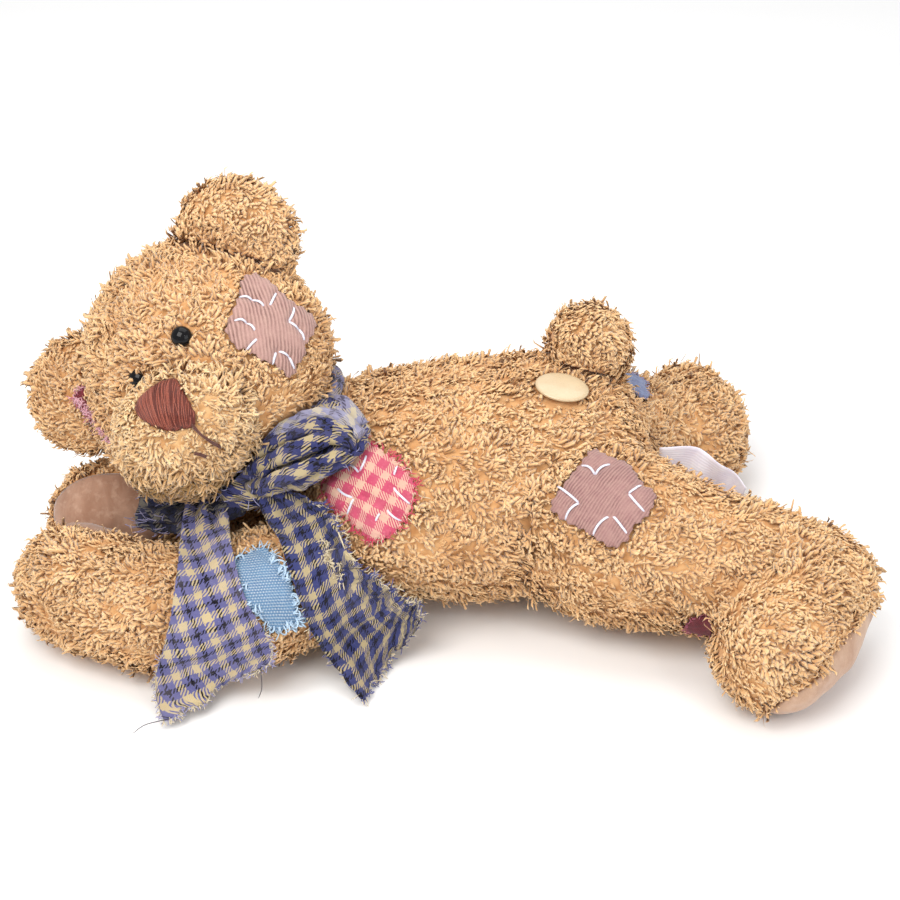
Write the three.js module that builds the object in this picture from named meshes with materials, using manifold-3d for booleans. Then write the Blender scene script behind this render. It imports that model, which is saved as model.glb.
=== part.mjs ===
// A small threadbare teddy bear lying on its belly, head turned to its left and resting on its
// forelegs. Millimetres, +Z up, +X from head to feet, the bear's left flank towards -Y.
// Soft stuffed sections are plain closed solids at the middle of their pile.
import * as THREE from 'three';
import { mergeVertices } from 'three/addons/utils/BufferGeometryUtils.js';
import Module from 'manifold-3d';

// ---------------------------------------------------------------- driving dimensions
const GAP = 0.3; // clearance between touching pieces
const FLOOR = 0; // the bear rests on z = 0

const TORSO = {
  middle: [0, -12, 44],
  parts: [
    { at: [-24, -23, 45], r: [38, 53, 37] }, // chest and shoulders
    { at: [10, -13.5, 41.3], r: [56, 59, 42.5] }, // belly
    { at: [42, -8, 42.2], r: [40, 50, 43] }, // rump
    { at: [-46, -17, 58], r: [20, 26, 25] }, // neck end
  ],
  blend: 12,
};
const HEAD = {
  at: [-94, -11, 93.5],
  face: [-0.244, -0.881, 0.405], // the way the nose points
  up: [-0.641, 0.46, 0.615], // from chin to crown
  skull: [46, 46, 45], // radii to its left, crown and face
  cheeks: { face: 10, up: -12, r: [50, 37, 36] },
  blend: 8,
};
const MUZZLE = { side: -10, face: 34, up: -21, r: [30, 25, 30] };
const LEFT_EAR = { side: 41, up: 23.5, face: 8, r: [25, 25, 10] };
const RIGHT_EAR = { side: -46, up: 20.5, face: 3, r: [24, 24, 10] };
const LEFT_ARM = {
  path: [[-50, -61, 29], [-68, -73, 27], [-96, -79, 24], [-122, -73, 23.6], [-141, -63, 23.7]],
  r: [[23, 23], [25, 25], [24, 24], [24, 24.5], [24, 24.5]],
};
const RIGHT_ARM = {
  path: [[-54, 4, 36], [-80, 2, 28], [-108, -8, 23.6], [-136, -17, 23.6]],
  r: [[22, 22], [24, 24], [24, 24], [23.5, 24]],
};
const LEFT_LEG = {
  path: [[40, -38, 42], [64, -52, 39], [92, -60, 34], [116, -66, 31], [131, -70, 30]],
  r: [[34, 33], [34, 34], [28, 29], [26, 27], [22, 24]],
};
const LEFT_FOOT = {
  path: [[136, -73, 28], [128, -88.5, 25.2], [118.5, -102.5, 24.4]],
  r: [[24, 25.5], [25, 26], [23.5, 25]],
};
const RIGHT_LEG = {
  path: [[42, 10, 42], [62, 24, 36], [84, 38, 28], [98, 46, 26]],
  r: [[32, 32], [30, 30], [24, 24], [22, 22]],
};
const RIGHT_FOOT = {
  path: [[103, 44, 24.4], [103, 54, 23.2], [101, 62, 22.8]],
  r: [[23.5, 25], [23.5, 24], [23, 23.5]],
};
const TAIL = { at: [54.5, 8, 88], r: 17.2 };

// Eyes: bead, shank and push-on washer, on a ray from the middle of the skull
const EYE = {
  side: 12.6, shift: 1, up: 3.4, face: 44.5,
  bead: 3.9, dome: 3.4, shank: 1.6, shankLength: 9,
  washer: 6, washerThick: 1.6, washerDepth: 5.4,
  clear: 0.35,
};

// Sewn-on pieces: a middle point, the way out, and an outline in the plane across it,
// whose first axis is +X laid in that plane.
const CLOTH = 1.0; // patch cloth, hem and pile under it
const HEAD_PATCH = { at: [-65.8, -43.2, 124.6], out: [0.45, -0.557, 0.698], outline: [[-3.4, 23.1], [-0.4, 21.0], [2.6, 18.7], [6.2, 14.1], [8.9, 12.1], [14.5, 10.0], [18.8, 8.2], [19.2, 5.0], [18.1, 1.2], [15.0, -3.4], [15.2, -8.0], [12.8, -10.1], [12.5, -12.9], [11.0, -16.0], [6.6, -13.9], [2.6, -12.2], [-1.2, -12.1], [-4.1, -10.4], [-7.0, -9.2], [-10.9, -8.3], [-12.1, -6.2], [-14.7, -3.0], [-13.9, 1.7], [-12.3, 5.0], [-11.6, 7.9], [-10.0, 11.9], [-9.2, 17.0], [-8.0, 20.2]] };
const HIP_PATCH = { at: [57.1, -70.2, 66.8], out: [-0.119, -0.51, 0.852], outline: [[-3.9, 25.1], [1.6, 19.7], [8.2, 17.3], [13.1, 7.6], [18.8, 3.1], [15.1, -5.6], [9.1, -9.9], [7.4, -14.3], [1.8, -16.5], [-5.3, -12.0], [-9.5, -8.8], [-16.1, -5.1], [-21.1, 0.3], [-12.9, 10.3], [-8.7, 17.1]] };
const SHOULDER_PATCH = { at: [-28.8, -64.5, 67.1], out: [-0.216, -0.688, 0.693], outline: [[-10.9, 13.7], [-7.1, 18.7], [-2.9, 19.7], [1.2, 17.4], [6.7, 13.6], [11.7, 9.2], [15.1, 3.7], [15.1, -1.2], [14.3, -6.0], [12.4, -9.3], [8.6, -14.3], [4.8, -16.8], [-1.9, -17.4], [-5.7, -13.3], [-10.7, -8.7], [-15.2, -4.9], [-18.3, 0.4], [-21.2, 4.4], [-15.1, 7.7]] };
const ARM_PATCH = { at: [-66.8, -91.4, 44.0], out: [0.227, -0.632, 0.741], outline: [[-12.0, 9.4], [-7.0, 11.9], [-2.6, 14.9], [0.6, 14.2], [6.0, 5.9], [8.6, 4.2], [10.7, -5.7], [14.5, -10.5], [4.2, -15.5], [0.0, -11.9], [-7.4, -6.8], [-9.9, 0.0]] };
const EAR_PATCH = { at: [-135.1, -20.3, 75], out: [-0.244, -0.881, 0.405], outline: [[-9.4, 6.1], [-6.3, 2.2], [-3.6, -1.8], [-1.4, -7.2], [4.3, -12.4], [8.9, -9.8], [7.0, 0.8], [0.5, 9.3], [-4.1, 10.0]] };
const RIGHT_LEG_PATCH = { at: [79, 26, 53], out: [0.15, -0.35, 0.92], outline: [[-12, -7], [-2, -9], [6, -7], [5, 1], [7, 7], [-3, 10], [-12, 8]] };
const LEFT_LEG_PATCH = { at: [94.5, -87.4, 25.2], out: [-0.19, -0.958, -0.217], outline: [[-5, 3.5], [3, 4], [5, 0], [9, -8], [6, -14], [-8, -13], [-8, -5]] };
const NOSE = { at: [-102.5, -73.6, 110.3], out: [-0.43, -0.672, 0.602], thick: 1.8, outline: [[1.4, 10.7], [5.3, 5.7], [8.3, 0.5], [10.1, -3.8], [9.3, -7.6], [2.2, -9.4], [-4.5, -7.5], [-10.4, -3.7], [-13.0, 0.0], [-12.1, 4.0], [-8.5, 6.9], [-3.9, 9.8]] };
const MOUTH = { at: [-88.4, -80.9, 101.1], out: [0.11, -0.977, 0.18], outline: [[-4.4, 5.4], [-2.4, 3.2], [-0.4, 1.1], [3.6, -2.1], [7.3, -5.7], [6.5, -7.3], [2.4, -4.0], [-2.0, -0.9], [-4.2, 1.9], [-5.7, 4.1]] };
const SUEDE_THICK = 1.0;
const LEFT_PAW_PAD = { at: [-132, -46, 38], out: [-0.1, 0.84, 0.53], oval: [21, 15] };
const RIGHT_PAW_PAD = { at: [-132.5, -35.7, 38], out: [0.05, -0.848, 0.527], oval: [23, 15.5] };
const LEFT_SOLE = { at: [128.5, -89, 26.5], out: [0.52, -0.38, -0.765], along: [-0.48, -0.87, -0.11], oval: [34, 20] };
const RIGHT_SOLE = { at: [102, 54, 24], out: [0.6, 0.8, 0], along: [-0.8, 0.6, 0], oval: [26, 17] };
const BADGE = { at: [42.8, -19.5, 85.3], out: [0.093, -0.157, 0.983], oval: [10, 8], turn: -0.2, dome: 2.2 };
const LABEL = { thick: 0.8, corners: [[82, -15, 52], [97, -16.5, 52.4], [101.5, -18, 49.8], [107, -20, 45.5], [114, -23, 39.5], [113, -21, 31], [97, -17, 32], [82, -14, 36]] };

// Scarf: one strip, wound round the neck in a band, knotted, with two free tails.
// Rows of the tails run from the knot to the end: left edge, middle, right edge.
const SCARF = {
  thick: 1.4,
  band: 4.6,
  ring: [[-75.5, -52, 66], [-66, -45, 68], [-60.4, -38.4, 66.8], [-55.6, -38.5, 73.4], [-50.8, -35.1, 79.3], [-47.5, -28.7, 83.5], [-45.6, -21.1, 85.6], [-46, -13.1, 85.4], [-47.4, -6, 83.3], [-50.1, -0.3, 79.4], [-53.4, 3.6, 74.3], [-57.5, 4.6, 68.5], [-61.2, 3.1, 62.9], [-64.3, -0.6, 58.5], [-66.9, -5.7, 55.9], [-68, -11.4, 54.5], [-68.6, -17.2, 53.8], [-68.2, -23.3, 54.5], [-67.1, -29.2, 57.1], [-68, -40, 61], [-74, -50, 64]],
  knot: { at: [-76.5, -57, 66.5], r: [11.5, 8, 10] },
  fold: { path: [[-75, -57, 67], [-60, -55, 74.5], [-47, -47, 81], [-40, -38, 84.5]], r: [[9, 5], [13, 4.8], [14, 4.8], [12, 4.5]] },
  chin: { path: [[-77, -56, 62], [-91, -53, 55.5], [-105, -49, 49], [-119, -45, 46.5]], r: [[8, 4.2], [9.5, 4.2], [9.5, 4], [8, 3.2]] },
  left: [
    [[-98.4, -57.0, 56.8], [-90.7, -57.5, 56.7], [-83.0, -58.0, 56.5]],
    [[-99.1, -66.8, 54.3], [-90.6, -66.3, 54.5], [-82.1, -65.8, 54.6]],
    [[-99.1, -79.0, 51.1], [-89.5, -78.5, 51.8], [-79.9, -78.4, 52.9]],
    [[-98.9, -93.2, 46.9], [-87.9, -92.4, 47.9], [-76.9, -91.2, 48.6]],
    [[-100.8, -101.4, 38.1], [-86.9, -100.5, 39.9], [-73.1, -98.4, 40.8]],
    [[-104.3, -104.7, 24.7], [-86.0, -104.5, 29.6], [-68.2, -101.1, 32.0]],
    [[-108.3, -104.9, 8.8], [-86.7, -104.8, 17.8], [-65.7, -101.0, 23.8]],
    [[-104.2, -118.2, 1.4], [-85.9, -106.1, 7.5], [-66.3, -101.1, 19.3]],
  ],
  right: [
    [[-71.8, -62.9, 64.2], [-65.5, -62.3, 65.6], [-59.2, -61.7, 67.0]],
    [[-68.2, -66.4, 55.9], [-57.8, -65.3, 58.3], [-47.4, -64.3, 60.7]],
    [[-62.3, -79.3, 53.1], [-51.2, -74.4, 52.8], [-39.8, -73.3, 55.2]],
    [[-58.2, -88.7, 47.2], [-47.3, -83.3, 45.9], [-36.1, -79.1, 45.3]],
    [[-55.0, -94.1, 38.6], [-41.4, -85.1, 37.5], [-27.4, -79.3, 38.7]],
    [[-51.4, -95.0, 25.6], [-35.5, -82.9, 24.7], [-19.0, -77.9, 29.1]],
    [[-44.7, -91.6, 8.2], [-29.3, -80.5, 13.4], [-13.5, -77.0, 24.2]],
    [[-33.8, -106.7, 1.4], [-22.8, -83.4, 4.2], [-10.9, -76.5, 20.2]],
  ],
};

// ---------------------------------------------------------------- helpers
const wasm = await Module();
wasm.setup();

const vec = (a) => new THREE.Vector3(a[0], a[1], a[2]);

function toSolid(geometry) {
  const g = geometry.clone();
  for (const name of Object.keys(g.attributes)) if (name !== 'position') g.deleteAttribute(name);
  const merged = mergeVertices(g, 1e-4);
  return new wasm.Manifold(
    new wasm.Mesh({
      numProp: 3,
      vertProperties: new Float32Array(merged.attributes.position.array),
      triVerts: new Uint32Array(merged.index.array),
    }),
  );
}

function toGeometry(solid) {
  const mesh = solid.getMesh();
  const g = new THREE.BufferGeometry();
  const points = new Float32Array(mesh.numVert * 3);
  for (let i = 0; i < mesh.numVert; i++)
    for (let k = 0; k < 3; k++) points[3 * i + k] = mesh.vertProperties[i * mesh.numProp + k];
  g.setAttribute('position', new THREE.BufferAttribute(points, 3));
  g.setIndex(new THREE.BufferAttribute(new Uint32Array(mesh.triVerts), 1));
  return g;
}

// A closed ellipsoid's field: below zero inside, roughly millimetres outside.
function ellipsoid(at, r, axes = [vec([1, 0, 0]), vec([0, 1, 0]), vec([0, 0, 1])]) {
  const centre = vec(at);
  const q = new THREE.Vector3();
  return (p) => {
    q.subVectors(p, centre);
    const a = q.dot(axes[0]), b = q.dot(axes[1]), c = q.dot(axes[2]);
    const k0 = Math.hypot(a / r[0], b / r[1], c / r[2]);
    const k1 = Math.hypot(a / r[0] ** 2, b / r[1] ** 2, c / r[2] ** 2);
    return k1 < 1e-9 ? -Math.min(...r) : (k0 * (k0 - 1)) / k1;
  };
}

const blended = (k, fields) => (p) => {
  let d = fields[0](p);
  for (const f of fields.slice(1)) {
    const e = f(p);
    const h = Math.max(k - Math.abs(d - e), 0) / k;
    d = Math.min(d, e) - (h * h * k) / 4;
  }
  return d;
};

// A ball of triangles whose points are pulled along their rays to the field's surface.
function moulded(field, at, detail, grow = 0) {
  const g = new THREE.IcosahedronGeometry(1, detail);
  g.deleteAttribute('normal');
  g.deleteAttribute('uv');
  const ball = mergeVertices(g, 1e-4);
  const pos = ball.attributes.position;
  const centre = vec(at);
  const dir = new THREE.Vector3();
  const p = new THREE.Vector3();
  for (let i = 0; i < pos.count; i++) {
    dir.fromBufferAttribute(pos, i).normalize();
    let near = 0, far = 200;
    for (let n = 0; n < 40; n++) {
      const mid = (near + far) / 2;
      p.copy(centre).addScaledVector(dir, mid);
      if (field(p) > grow) far = mid;
      else near = mid;
    }
    p.copy(centre).addScaledVector(dir, near);
    pos.setXYZ(i, p.x, p.y, p.z);
  }
  return ball;
}

// A stuffed limb: a ball drawn out along a curve, with round ends about the curve's two ends.
function stuffed({ path, r }, around, along, grow = 0) {
  const line = new THREE.CatmullRomCurve3(path.map(vec), false, 'centripetal');
  const size = new THREE.CatmullRomCurve3(r.map((a) => vec([a[0], a[1], 0])), false, 'catmullrom');
  const g = new THREE.SphereGeometry(1, around, along);
  g.deleteAttribute('normal');
  g.deleteAttribute('uv');
  const ball = mergeVertices(g, 1e-4);
  const pos = ball.attributes.position;
  const up = vec([0, 0, 1]);
  const length = line.getLength();
  const r0 = (r[0][0] + r[0][1]) / 2 + grow;
  const r1 = (r.at(-1)[0] + r.at(-1)[1]) / 2 + grow;
  const profile = (r0 * Math.PI) / 2 + length + (r1 * Math.PI) / 2;
  const v = new THREE.Vector3();
  for (let i = 0; i < pos.count; i++) {
    v.fromBufferAttribute(pos, i);
    const way = (Math.acos(THREE.MathUtils.clamp(v.y, -1, 1)) / Math.PI) * profile;
    let u = 0, push = 0, fat = 1;
    if (way < (r0 * Math.PI) / 2) {
      push = -r0 * Math.cos(way / r0);
      fat = Math.sin(way / r0);
    } else if (way < (r0 * Math.PI) / 2 + length) {
      u = (way - (r0 * Math.PI) / 2) / length;
    } else {
      const turn = (way - (r0 * Math.PI) / 2 - length) / r1;
      u = 1;
      push = r1 * Math.sin(turn);
      fat = Math.cos(turn);
    }
    const t = line.getUtoTmapping(u);
    const tangent = line.getTangent(t);
    const side = new THREE.Vector3().crossVectors(tangent, up).normalize();
    const over = new THREE.Vector3().crossVectors(side, tangent).normalize();
    const ring = Math.hypot(v.x, v.z);
    const rr = size.getPoint(t);
    const p = line.getPoint(t).addScaledVector(tangent, push);
    if (ring > 1e-6) {
      p.addScaledVector(side, (-v.x / ring) * (rr.x + grow) * Math.max(fat, 0));
      p.addScaledVector(over, (v.z / ring) * (rr.y + grow) * Math.max(fat, 0));
    }
    pos.setXYZ(i, p.x, p.y, p.z);
  }
  return ball;
}

// A frame on a surface: first axis +X laid across the way out (or along a given way).
function frameOf(at, out, along = [1, 0, 0]) {
  const n = vec(out).normalize();
  const x = vec(along).addScaledVector(n, -vec(along).dot(n)).normalize();
  const y = new THREE.Vector3().crossVectors(n, x);
  return new THREE.Matrix4().makeBasis(x, y, n).setPosition(vec(at));
}

// A straight prism through an outline, from under the surface to over it.
function prism(piece, down, up) {
  let shape;
  if (piece.oval) {
    shape = new THREE.Shape(
      new THREE.EllipseCurve(0, 0, piece.oval[0], piece.oval[1], 0, 2 * Math.PI).getPoints(20).slice(0, -1),
    );
  } else {
    shape = new THREE.Shape(piece.outline.map(([x, y]) => new THREE.Vector2(x, y)));
  }
  const g = new THREE.ExtrudeGeometry(shape, { depth: down + up, bevelEnabled: false, steps: 1 });
  g.translate(0, 0, -down);
  g.applyMatrix4(frameOf(piece.at, piece.out, piece.along));
  return toSolid(g);
}

// A sewn-on piece: the layer between two offsets of its host, inside the prism.
const sewn = (piece, outer, inner, down = 14, up = 12) =>
  outer.subtract(inner).intersect(prism(piece, down, up));

// The same piece with its outline made larger, to clear a neighbour around it.
const wider = (piece, k) => ({ ...piece, outline: piece.outline.map(([x, y]) => [x * k, y * k]) });

// A hanging sheet: a thin box bent through rows of three points each.
function sheet(rows, thick, across, along) {
  const lines = [0, 1, 2].map((k) => new THREE.CatmullRomCurve3(rows.map((r) => vec(r[k])), false, 'centripetal'));
  const at = (u, v) => {
    const row = lines.map((l) => l.getPoint(THREE.MathUtils.clamp(v, 0, 1)));
    return new THREE.CatmullRomCurve3(row, false, 'catmullrom').getPoint(THREE.MathUtils.clamp(u, 0, 1));
  };
  const g = new THREE.BoxGeometry(1, 1, 1, across, along, 1);
  g.deleteAttribute('normal');
  g.deleteAttribute('uv');
  const box = mergeVertices(g, 1e-4);
  const pos = box.attributes.position;
  const e = 0.004;
  for (let i = 0; i < pos.count; i++) {
    const u = pos.getX(i) + 0.5;
    const v = 0.5 - pos.getY(i);
    const p = at(u, v);
    const du = at(u + e, v).sub(at(u - e, v));
    const dv = at(u, v - e).sub(at(u, v + e));
    const n = new THREE.Vector3().crossVectors(du, dv).normalize();
    p.addScaledVector(n, pos.getZ(i) * thick);
    pos.setXYZ(i, p.x, p.y, p.z);
  }
  return toSolid(box);
}

// A round band along an open curve.
function cord(points, radius, steps) {
  const shape = new THREE.Shape(
    new THREE.EllipseCurve(0, 0, radius, radius, 0, 2 * Math.PI).getPoints(8).slice(0, -1),
  );
  const path = new THREE.CatmullRomCurve3(points.map(vec), false, 'centripetal');
  return toSolid(new THREE.ExtrudeGeometry(shape, { steps, bevelEnabled: false, extrudePath: path }));
}

// A turned piece about the way out of a frame.
function turned(profile, sides, frame) {
  const g = new THREE.LatheGeometry(profile.map(([r, z]) => new THREE.Vector2(r, z)), sides);
  g.rotateX(Math.PI / 2);
  g.applyMatrix4(frame);
  return toSolid(g);
}

const below = toSolid(new THREE.BoxGeometry(600, 600, 100).translate(0, 0, FLOOR - 50));
const rested = (solid) => solid.subtract(below);

const group = new THREE.Group();
group.name = 'teddy_bear';
function add(name, solid, color, roughness = 0.95, metalness = 0) {
  const mesh = new THREE.Mesh(
    toGeometry(solid),
    new THREE.MeshStandardMaterial({ color, roughness, metalness }),
  );
  mesh.name = name;
  group.add(mesh);
  return mesh;
}

const PLUSH = '#d6a468';
const SUEDE = '#c4a48e';

// ---------------------------------------------------------------- torso
const torsoField = blended(TORSO.blend, TORSO.parts.map((e) => ellipsoid(e.at, e.r)));
const torsoAt = (grow) => toSolid(moulded(torsoField, TORSO.middle, 7, grow));
const torso = rested(torsoAt(0));
const torsoGrown = torsoAt(GAP);

// ---------------------------------------------------------------- head, muzzle, ears
const FACE = vec(HEAD.face).normalize();
const CROWN = vec(HEAD.up).addScaledVector(FACE, -vec(HEAD.up).dot(FACE)).normalize();
const LEFT = new THREE.Vector3().crossVectors(CROWN, FACE).normalize();
const headAxes = [LEFT, CROWN, FACE];
const onHead = (side, up, face) =>
  vec(HEAD.at).addScaledVector(LEFT, side).addScaledVector(CROWN, up).addScaledVector(FACE, face).toArray();

const headField = blended(HEAD.blend, [
  ellipsoid(HEAD.at, HEAD.skull, headAxes),
  ellipsoid(onHead(0, HEAD.cheeks.up, HEAD.cheeks.face), HEAD.cheeks.r, headAxes),
]);
const headAt = (grow) => toSolid(moulded(headField, HEAD.at, 6, grow));
const headGrown = headAt(GAP);

const muzzleMiddle = onHead(MUZZLE.side, MUZZLE.up, MUZZLE.face);
const muzzleField = ellipsoid(muzzleMiddle, MUZZLE.r, headAxes);
const muzzleAt = (grow) => toSolid(moulded(muzzleField, muzzleMiddle, 5, grow));
const muzzleGrown = muzzleAt(GAP);

const earAt = (ear, grow = 0) => {
  const at = onHead(ear.side, ear.up, ear.face);
  return toSolid(moulded(ellipsoid(at, ear.r, headAxes), at, 4, grow));
};

// The eyes' frames: on the skull's surface, out along the ray from its middle
function eyeFrame(sign) {
  const dir = LEFT.clone().multiplyScalar(sign * EYE.side + EYE.shift).addScaledVector(CROWN, EYE.up).addScaledVector(FACE, EYE.face).normalize();
  let near = 0, far = 100;
  for (let n = 0; n < 40; n++) {
    const mid = (near + far) / 2;
    if (headField(vec(HEAD.at).addScaledVector(dir, mid)) > 0) far = mid;
    else near = mid;
  }
  return frameOf(vec(HEAD.at).addScaledVector(dir, near).toArray(), dir.toArray(), CROWN.toArray());
}
const beadProfile = (grow) => {
  const profile = [[0, -EYE.shankLength - grow], [EYE.shank + grow, -EYE.shankLength - grow], [EYE.shank + grow, GAP - grow], [EYE.bead + grow, GAP - grow]];
  for (let k = 1; k < 5; k++) {
    const t = (k / 5) * (Math.PI / 2);
    profile.push([(EYE.bead + grow) * Math.cos(t), GAP + 0.8 + (EYE.dome + grow) * Math.sin(t)]);
  }
  profile.push([0, GAP + 0.8 + EYE.dome + grow]);
  return profile;
};
const washerProfile = (grow) => {
  const top = -EYE.washerDepth + grow;
  const bottom = -EYE.washerDepth - EYE.washerThick - grow;
  const inner = EYE.shank + EYE.clear;
  return grow > 0
    ? [[0, bottom], [EYE.washer + grow, bottom], [EYE.washer + grow, top], [0, top]]
    : [[inner, bottom], [EYE.washer, bottom], [EYE.washer, top], [inner, top], [inner, bottom]];
};
const eyes = [1, -1].map((sign) => {
  const frame = eyeFrame(sign);
  return {
    bead: turned(beadProfile(0), 12, frame),
    washer: turned(washerProfile(0), 12, frame),
    pocket: turned([[0, -EYE.shankLength - EYE.clear], [EYE.shank + EYE.clear, -EYE.shankLength - EYE.clear], [EYE.shank + EYE.clear, 6], [0, 6]], 12, frame)
      .add(turned(washerProfile(EYE.clear), 12, frame)),
    clearing: turned(beadProfile(GAP), 12, frame),
  };
});

const headPatch = sewn(HEAD_PATCH, headAt(GAP + CLOTH), headGrown);
let head = headAt(0).subtract(torsoGrown);
let muzzle = muzzleAt(0).subtract(headGrown);
for (const eye of eyes) {
  head = head.subtract(eye.pocket);
  muzzle = muzzle.subtract(eye.clearing);
}
const nose = sewn(NOSE, muzzleAt(GAP + NOSE.thick), muzzleGrown).subtract(headGrown);
const mouth = sewn(MOUTH, muzzleAt(GAP + CLOTH), muzzleGrown).subtract(prism(wider(NOSE, 1.05), 20, 14));

const leftEar = earAt(LEFT_EAR).subtract(headGrown);
const rightEar = earAt(RIGHT_EAR).subtract(headGrown);
const earPatch = sewn(EAR_PATCH, earAt(RIGHT_EAR, GAP + CLOTH), earAt(RIGHT_EAR, GAP), 9, 12).subtract(headGrown).subtract(muzzleGrown);

// ---------------------------------------------------------------- arms and paw pads
const leftArmAt = (grow) => toSolid(stuffed(LEFT_ARM, 16, 14, grow));
const rightArmAt = (grow) => toSolid(stuffed(RIGHT_ARM, 16, 12, grow));
const leftArmGrown = leftArmAt(GAP);
const rightArmGrown = rightArmAt(GAP);
const leftArm = rested(leftArmAt(0)).subtract(torsoGrown).subtract(headGrown);
const rightArm = rested(rightArmAt(0)).subtract(torsoGrown).subtract(headGrown).subtract(leftArmGrown);
const armPatch = sewn(ARM_PATCH, leftArmAt(GAP + CLOTH), leftArmGrown);
const leftPawPad = sewn(LEFT_PAW_PAD, leftArmAt(GAP + SUEDE_THICK), leftArmGrown).subtract(rightArmAt(2 * GAP + SUEDE_THICK));
const rightPawPad = sewn(RIGHT_PAW_PAD, rightArmAt(GAP + SUEDE_THICK), rightArmGrown).subtract(leftArmGrown).subtract(headGrown).subtract(muzzleGrown);

// ---------------------------------------------------------------- legs, soles and patches
const leftLegAt = (grow) => toSolid(stuffed(LEFT_LEG, 18, 14, grow)).add(toSolid(stuffed(LEFT_FOOT, 16, 10, grow)));
const rightLegAt = (grow) => toSolid(stuffed(RIGHT_LEG, 16, 10, grow)).add(toSolid(stuffed(RIGHT_FOOT, 16, 8, grow)));
const leftLegGrown = leftLegAt(GAP);
const rightLegGrown = rightLegAt(GAP);
const leftLeg = rested(leftLegAt(0)).subtract(torsoGrown);
const rightLeg = rested(rightLegAt(0)).subtract(torsoGrown).subtract(leftLegGrown);
const leftSole = rested(sewn(LEFT_SOLE, toSolid(stuffed(LEFT_FOOT, 16, 10, GAP + SUEDE_THICK)), toSolid(stuffed(LEFT_FOOT, 16, 10, GAP)), 0, 40)).subtract(leftLegGrown);
const rightSole = rested(sewn(RIGHT_SOLE, toSolid(stuffed(RIGHT_FOOT, 16, 8, GAP + SUEDE_THICK)), toSolid(stuffed(RIGHT_FOOT, 16, 8, GAP)), 0, 40)).subtract(rightLegGrown);
const hipPatch = sewn(HIP_PATCH, leftLegAt(GAP + CLOTH), leftLegGrown, 22, 12).subtract(torsoGrown);
const rightLegPatch = sewn(RIGHT_LEG_PATCH, rightLegAt(GAP + CLOTH), rightLegGrown).subtract(torsoGrown);
const leftLegPatch = rested(sewn(LEFT_LEG_PATCH, leftLegAt(GAP + CLOTH), leftLegGrown, 16, 8)).subtract(torsoGrown);

// ---------------------------------------------------------------- tail, badge, label, shoulder patch
const tailField = ellipsoid(TAIL.at, [TAIL.r, TAIL.r, TAIL.r]);
const tail = toSolid(moulded(tailField, TAIL.at, 3)).subtract(torsoGrown);
const tailGrown = toSolid(moulded(tailField, TAIL.at, 3, GAP));

const badge = (() => {
  const g = new THREE.SphereGeometry(1, 20, 8);
  g.rotateX(Math.PI / 2);
  g.scale(BADGE.oval[0], BADGE.oval[1], BADGE.dome);
  g.rotateZ(BADGE.turn);
  g.applyMatrix4(frameOf(BADGE.at, BADGE.out));
  return toSolid(g).subtract(torsoGrown).subtract(tailGrown);
})();

const label = (() => {
  const c = LABEL.corners.map(vec);
  const origin = c[0];
  const x = c[4].clone().sub(origin).normalize();
  const n = new THREE.Vector3().crossVectors(x, c[7].clone().sub(origin)).normalize().negate();
  const y = new THREE.Vector3().crossVectors(n, x);
  const flat = c.map((p) => new THREE.Vector2(p.clone().sub(origin).dot(x), p.clone().sub(origin).dot(y)));
  const g = new THREE.ExtrudeGeometry(new THREE.Shape(flat), { depth: LABEL.thick, bevelEnabled: false, steps: 1 });
  g.translate(0, 0, -LABEL.thick / 2);
  g.applyMatrix4(new THREE.Matrix4().makeBasis(x, y, n).setPosition(origin));
  return toSolid(g).subtract(torsoGrown).subtract(leftLegGrown).subtract(rightLegGrown);
})();

const shoulderPatch = sewn(SHOULDER_PATCH, torsoAt(GAP + CLOTH), torsoGrown).subtract(leftArmGrown);
const shoulderPatchClear = torsoAt(2 * GAP + CLOTH).intersect(prism(wider(SHOULDER_PATCH, 1.03), 14, 12));
const armPatchClear = leftArmAt(2 * GAP + CLOTH).intersect(prism(wider(ARM_PATCH, 1.04), 14, 12));

// ---------------------------------------------------------------- scarf, one tied strip
const knotField = ellipsoid(SCARF.knot.at, SCARF.knot.r);
const half = Math.floor(SCARF.ring.length / 2);
let scarf = toSolid(moulded(knotField, SCARF.knot.at, 2));
scarf = scarf.add(cord(SCARF.ring.slice(0, half + 2), SCARF.band, 20));
scarf = scarf.add(cord(SCARF.ring.slice(half), SCARF.band, 18));
scarf = scarf.add(toSolid(stuffed(SCARF.fold, 10, 8)));
scarf = scarf.add(toSolid(stuffed(SCARF.chin, 10, 8)));
scarf = scarf.add(sheet(SCARF.left, SCARF.thick, 3, 12));
scarf = scarf.add(sheet(SCARF.right, SCARF.thick, 3, 12));
scarf = rested(scarf);
for (const other of [torsoGrown, headGrown, muzzleGrown, leftArmGrown, rightArmGrown, shoulderPatchClear, armPatchClear, rightArmAt(2 * GAP + SUEDE_THICK).intersect(prism(RIGHT_PAW_PAD, 14, 12))])
  scarf = scarf.subtract(other);

// ---------------------------------------------------------------- the group
const CORD_CLOTH = '#a9877a';
add('torso', torso, PLUSH);
add('head', head, PLUSH);
add('muzzle', muzzle, '#dfb27a');
add('left_ear', leftEar, PLUSH);
add('right_ear', rightEar, PLUSH);
add('left_arm', leftArm, PLUSH);
add('right_arm', rightArm, PLUSH);
add('left_leg', leftLeg, PLUSH);
add('right_leg', rightLeg, PLUSH);
add('tail', tail, PLUSH);
add('left_eye', eyes[0].bead, '#0d0c0c', 0.12);
add('right_eye', eyes[1].bead, '#0d0c0c', 0.12);
add('left_eye_washer', eyes[0].washer, '#e6e2d8', 0.5);
add('right_eye_washer', eyes[1].washer, '#e6e2d8', 0.5);
add('nose', nose, '#7a4334', 0.6);
add('mouth', mouth, '#6b3527', 0.7);
add('left_paw_pad', leftPawPad, SUEDE);
add('right_paw_pad', rightPawPad, SUEDE);
add('left_sole', leftSole, SUEDE);
add('right_sole', rightSole, SUEDE);
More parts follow.
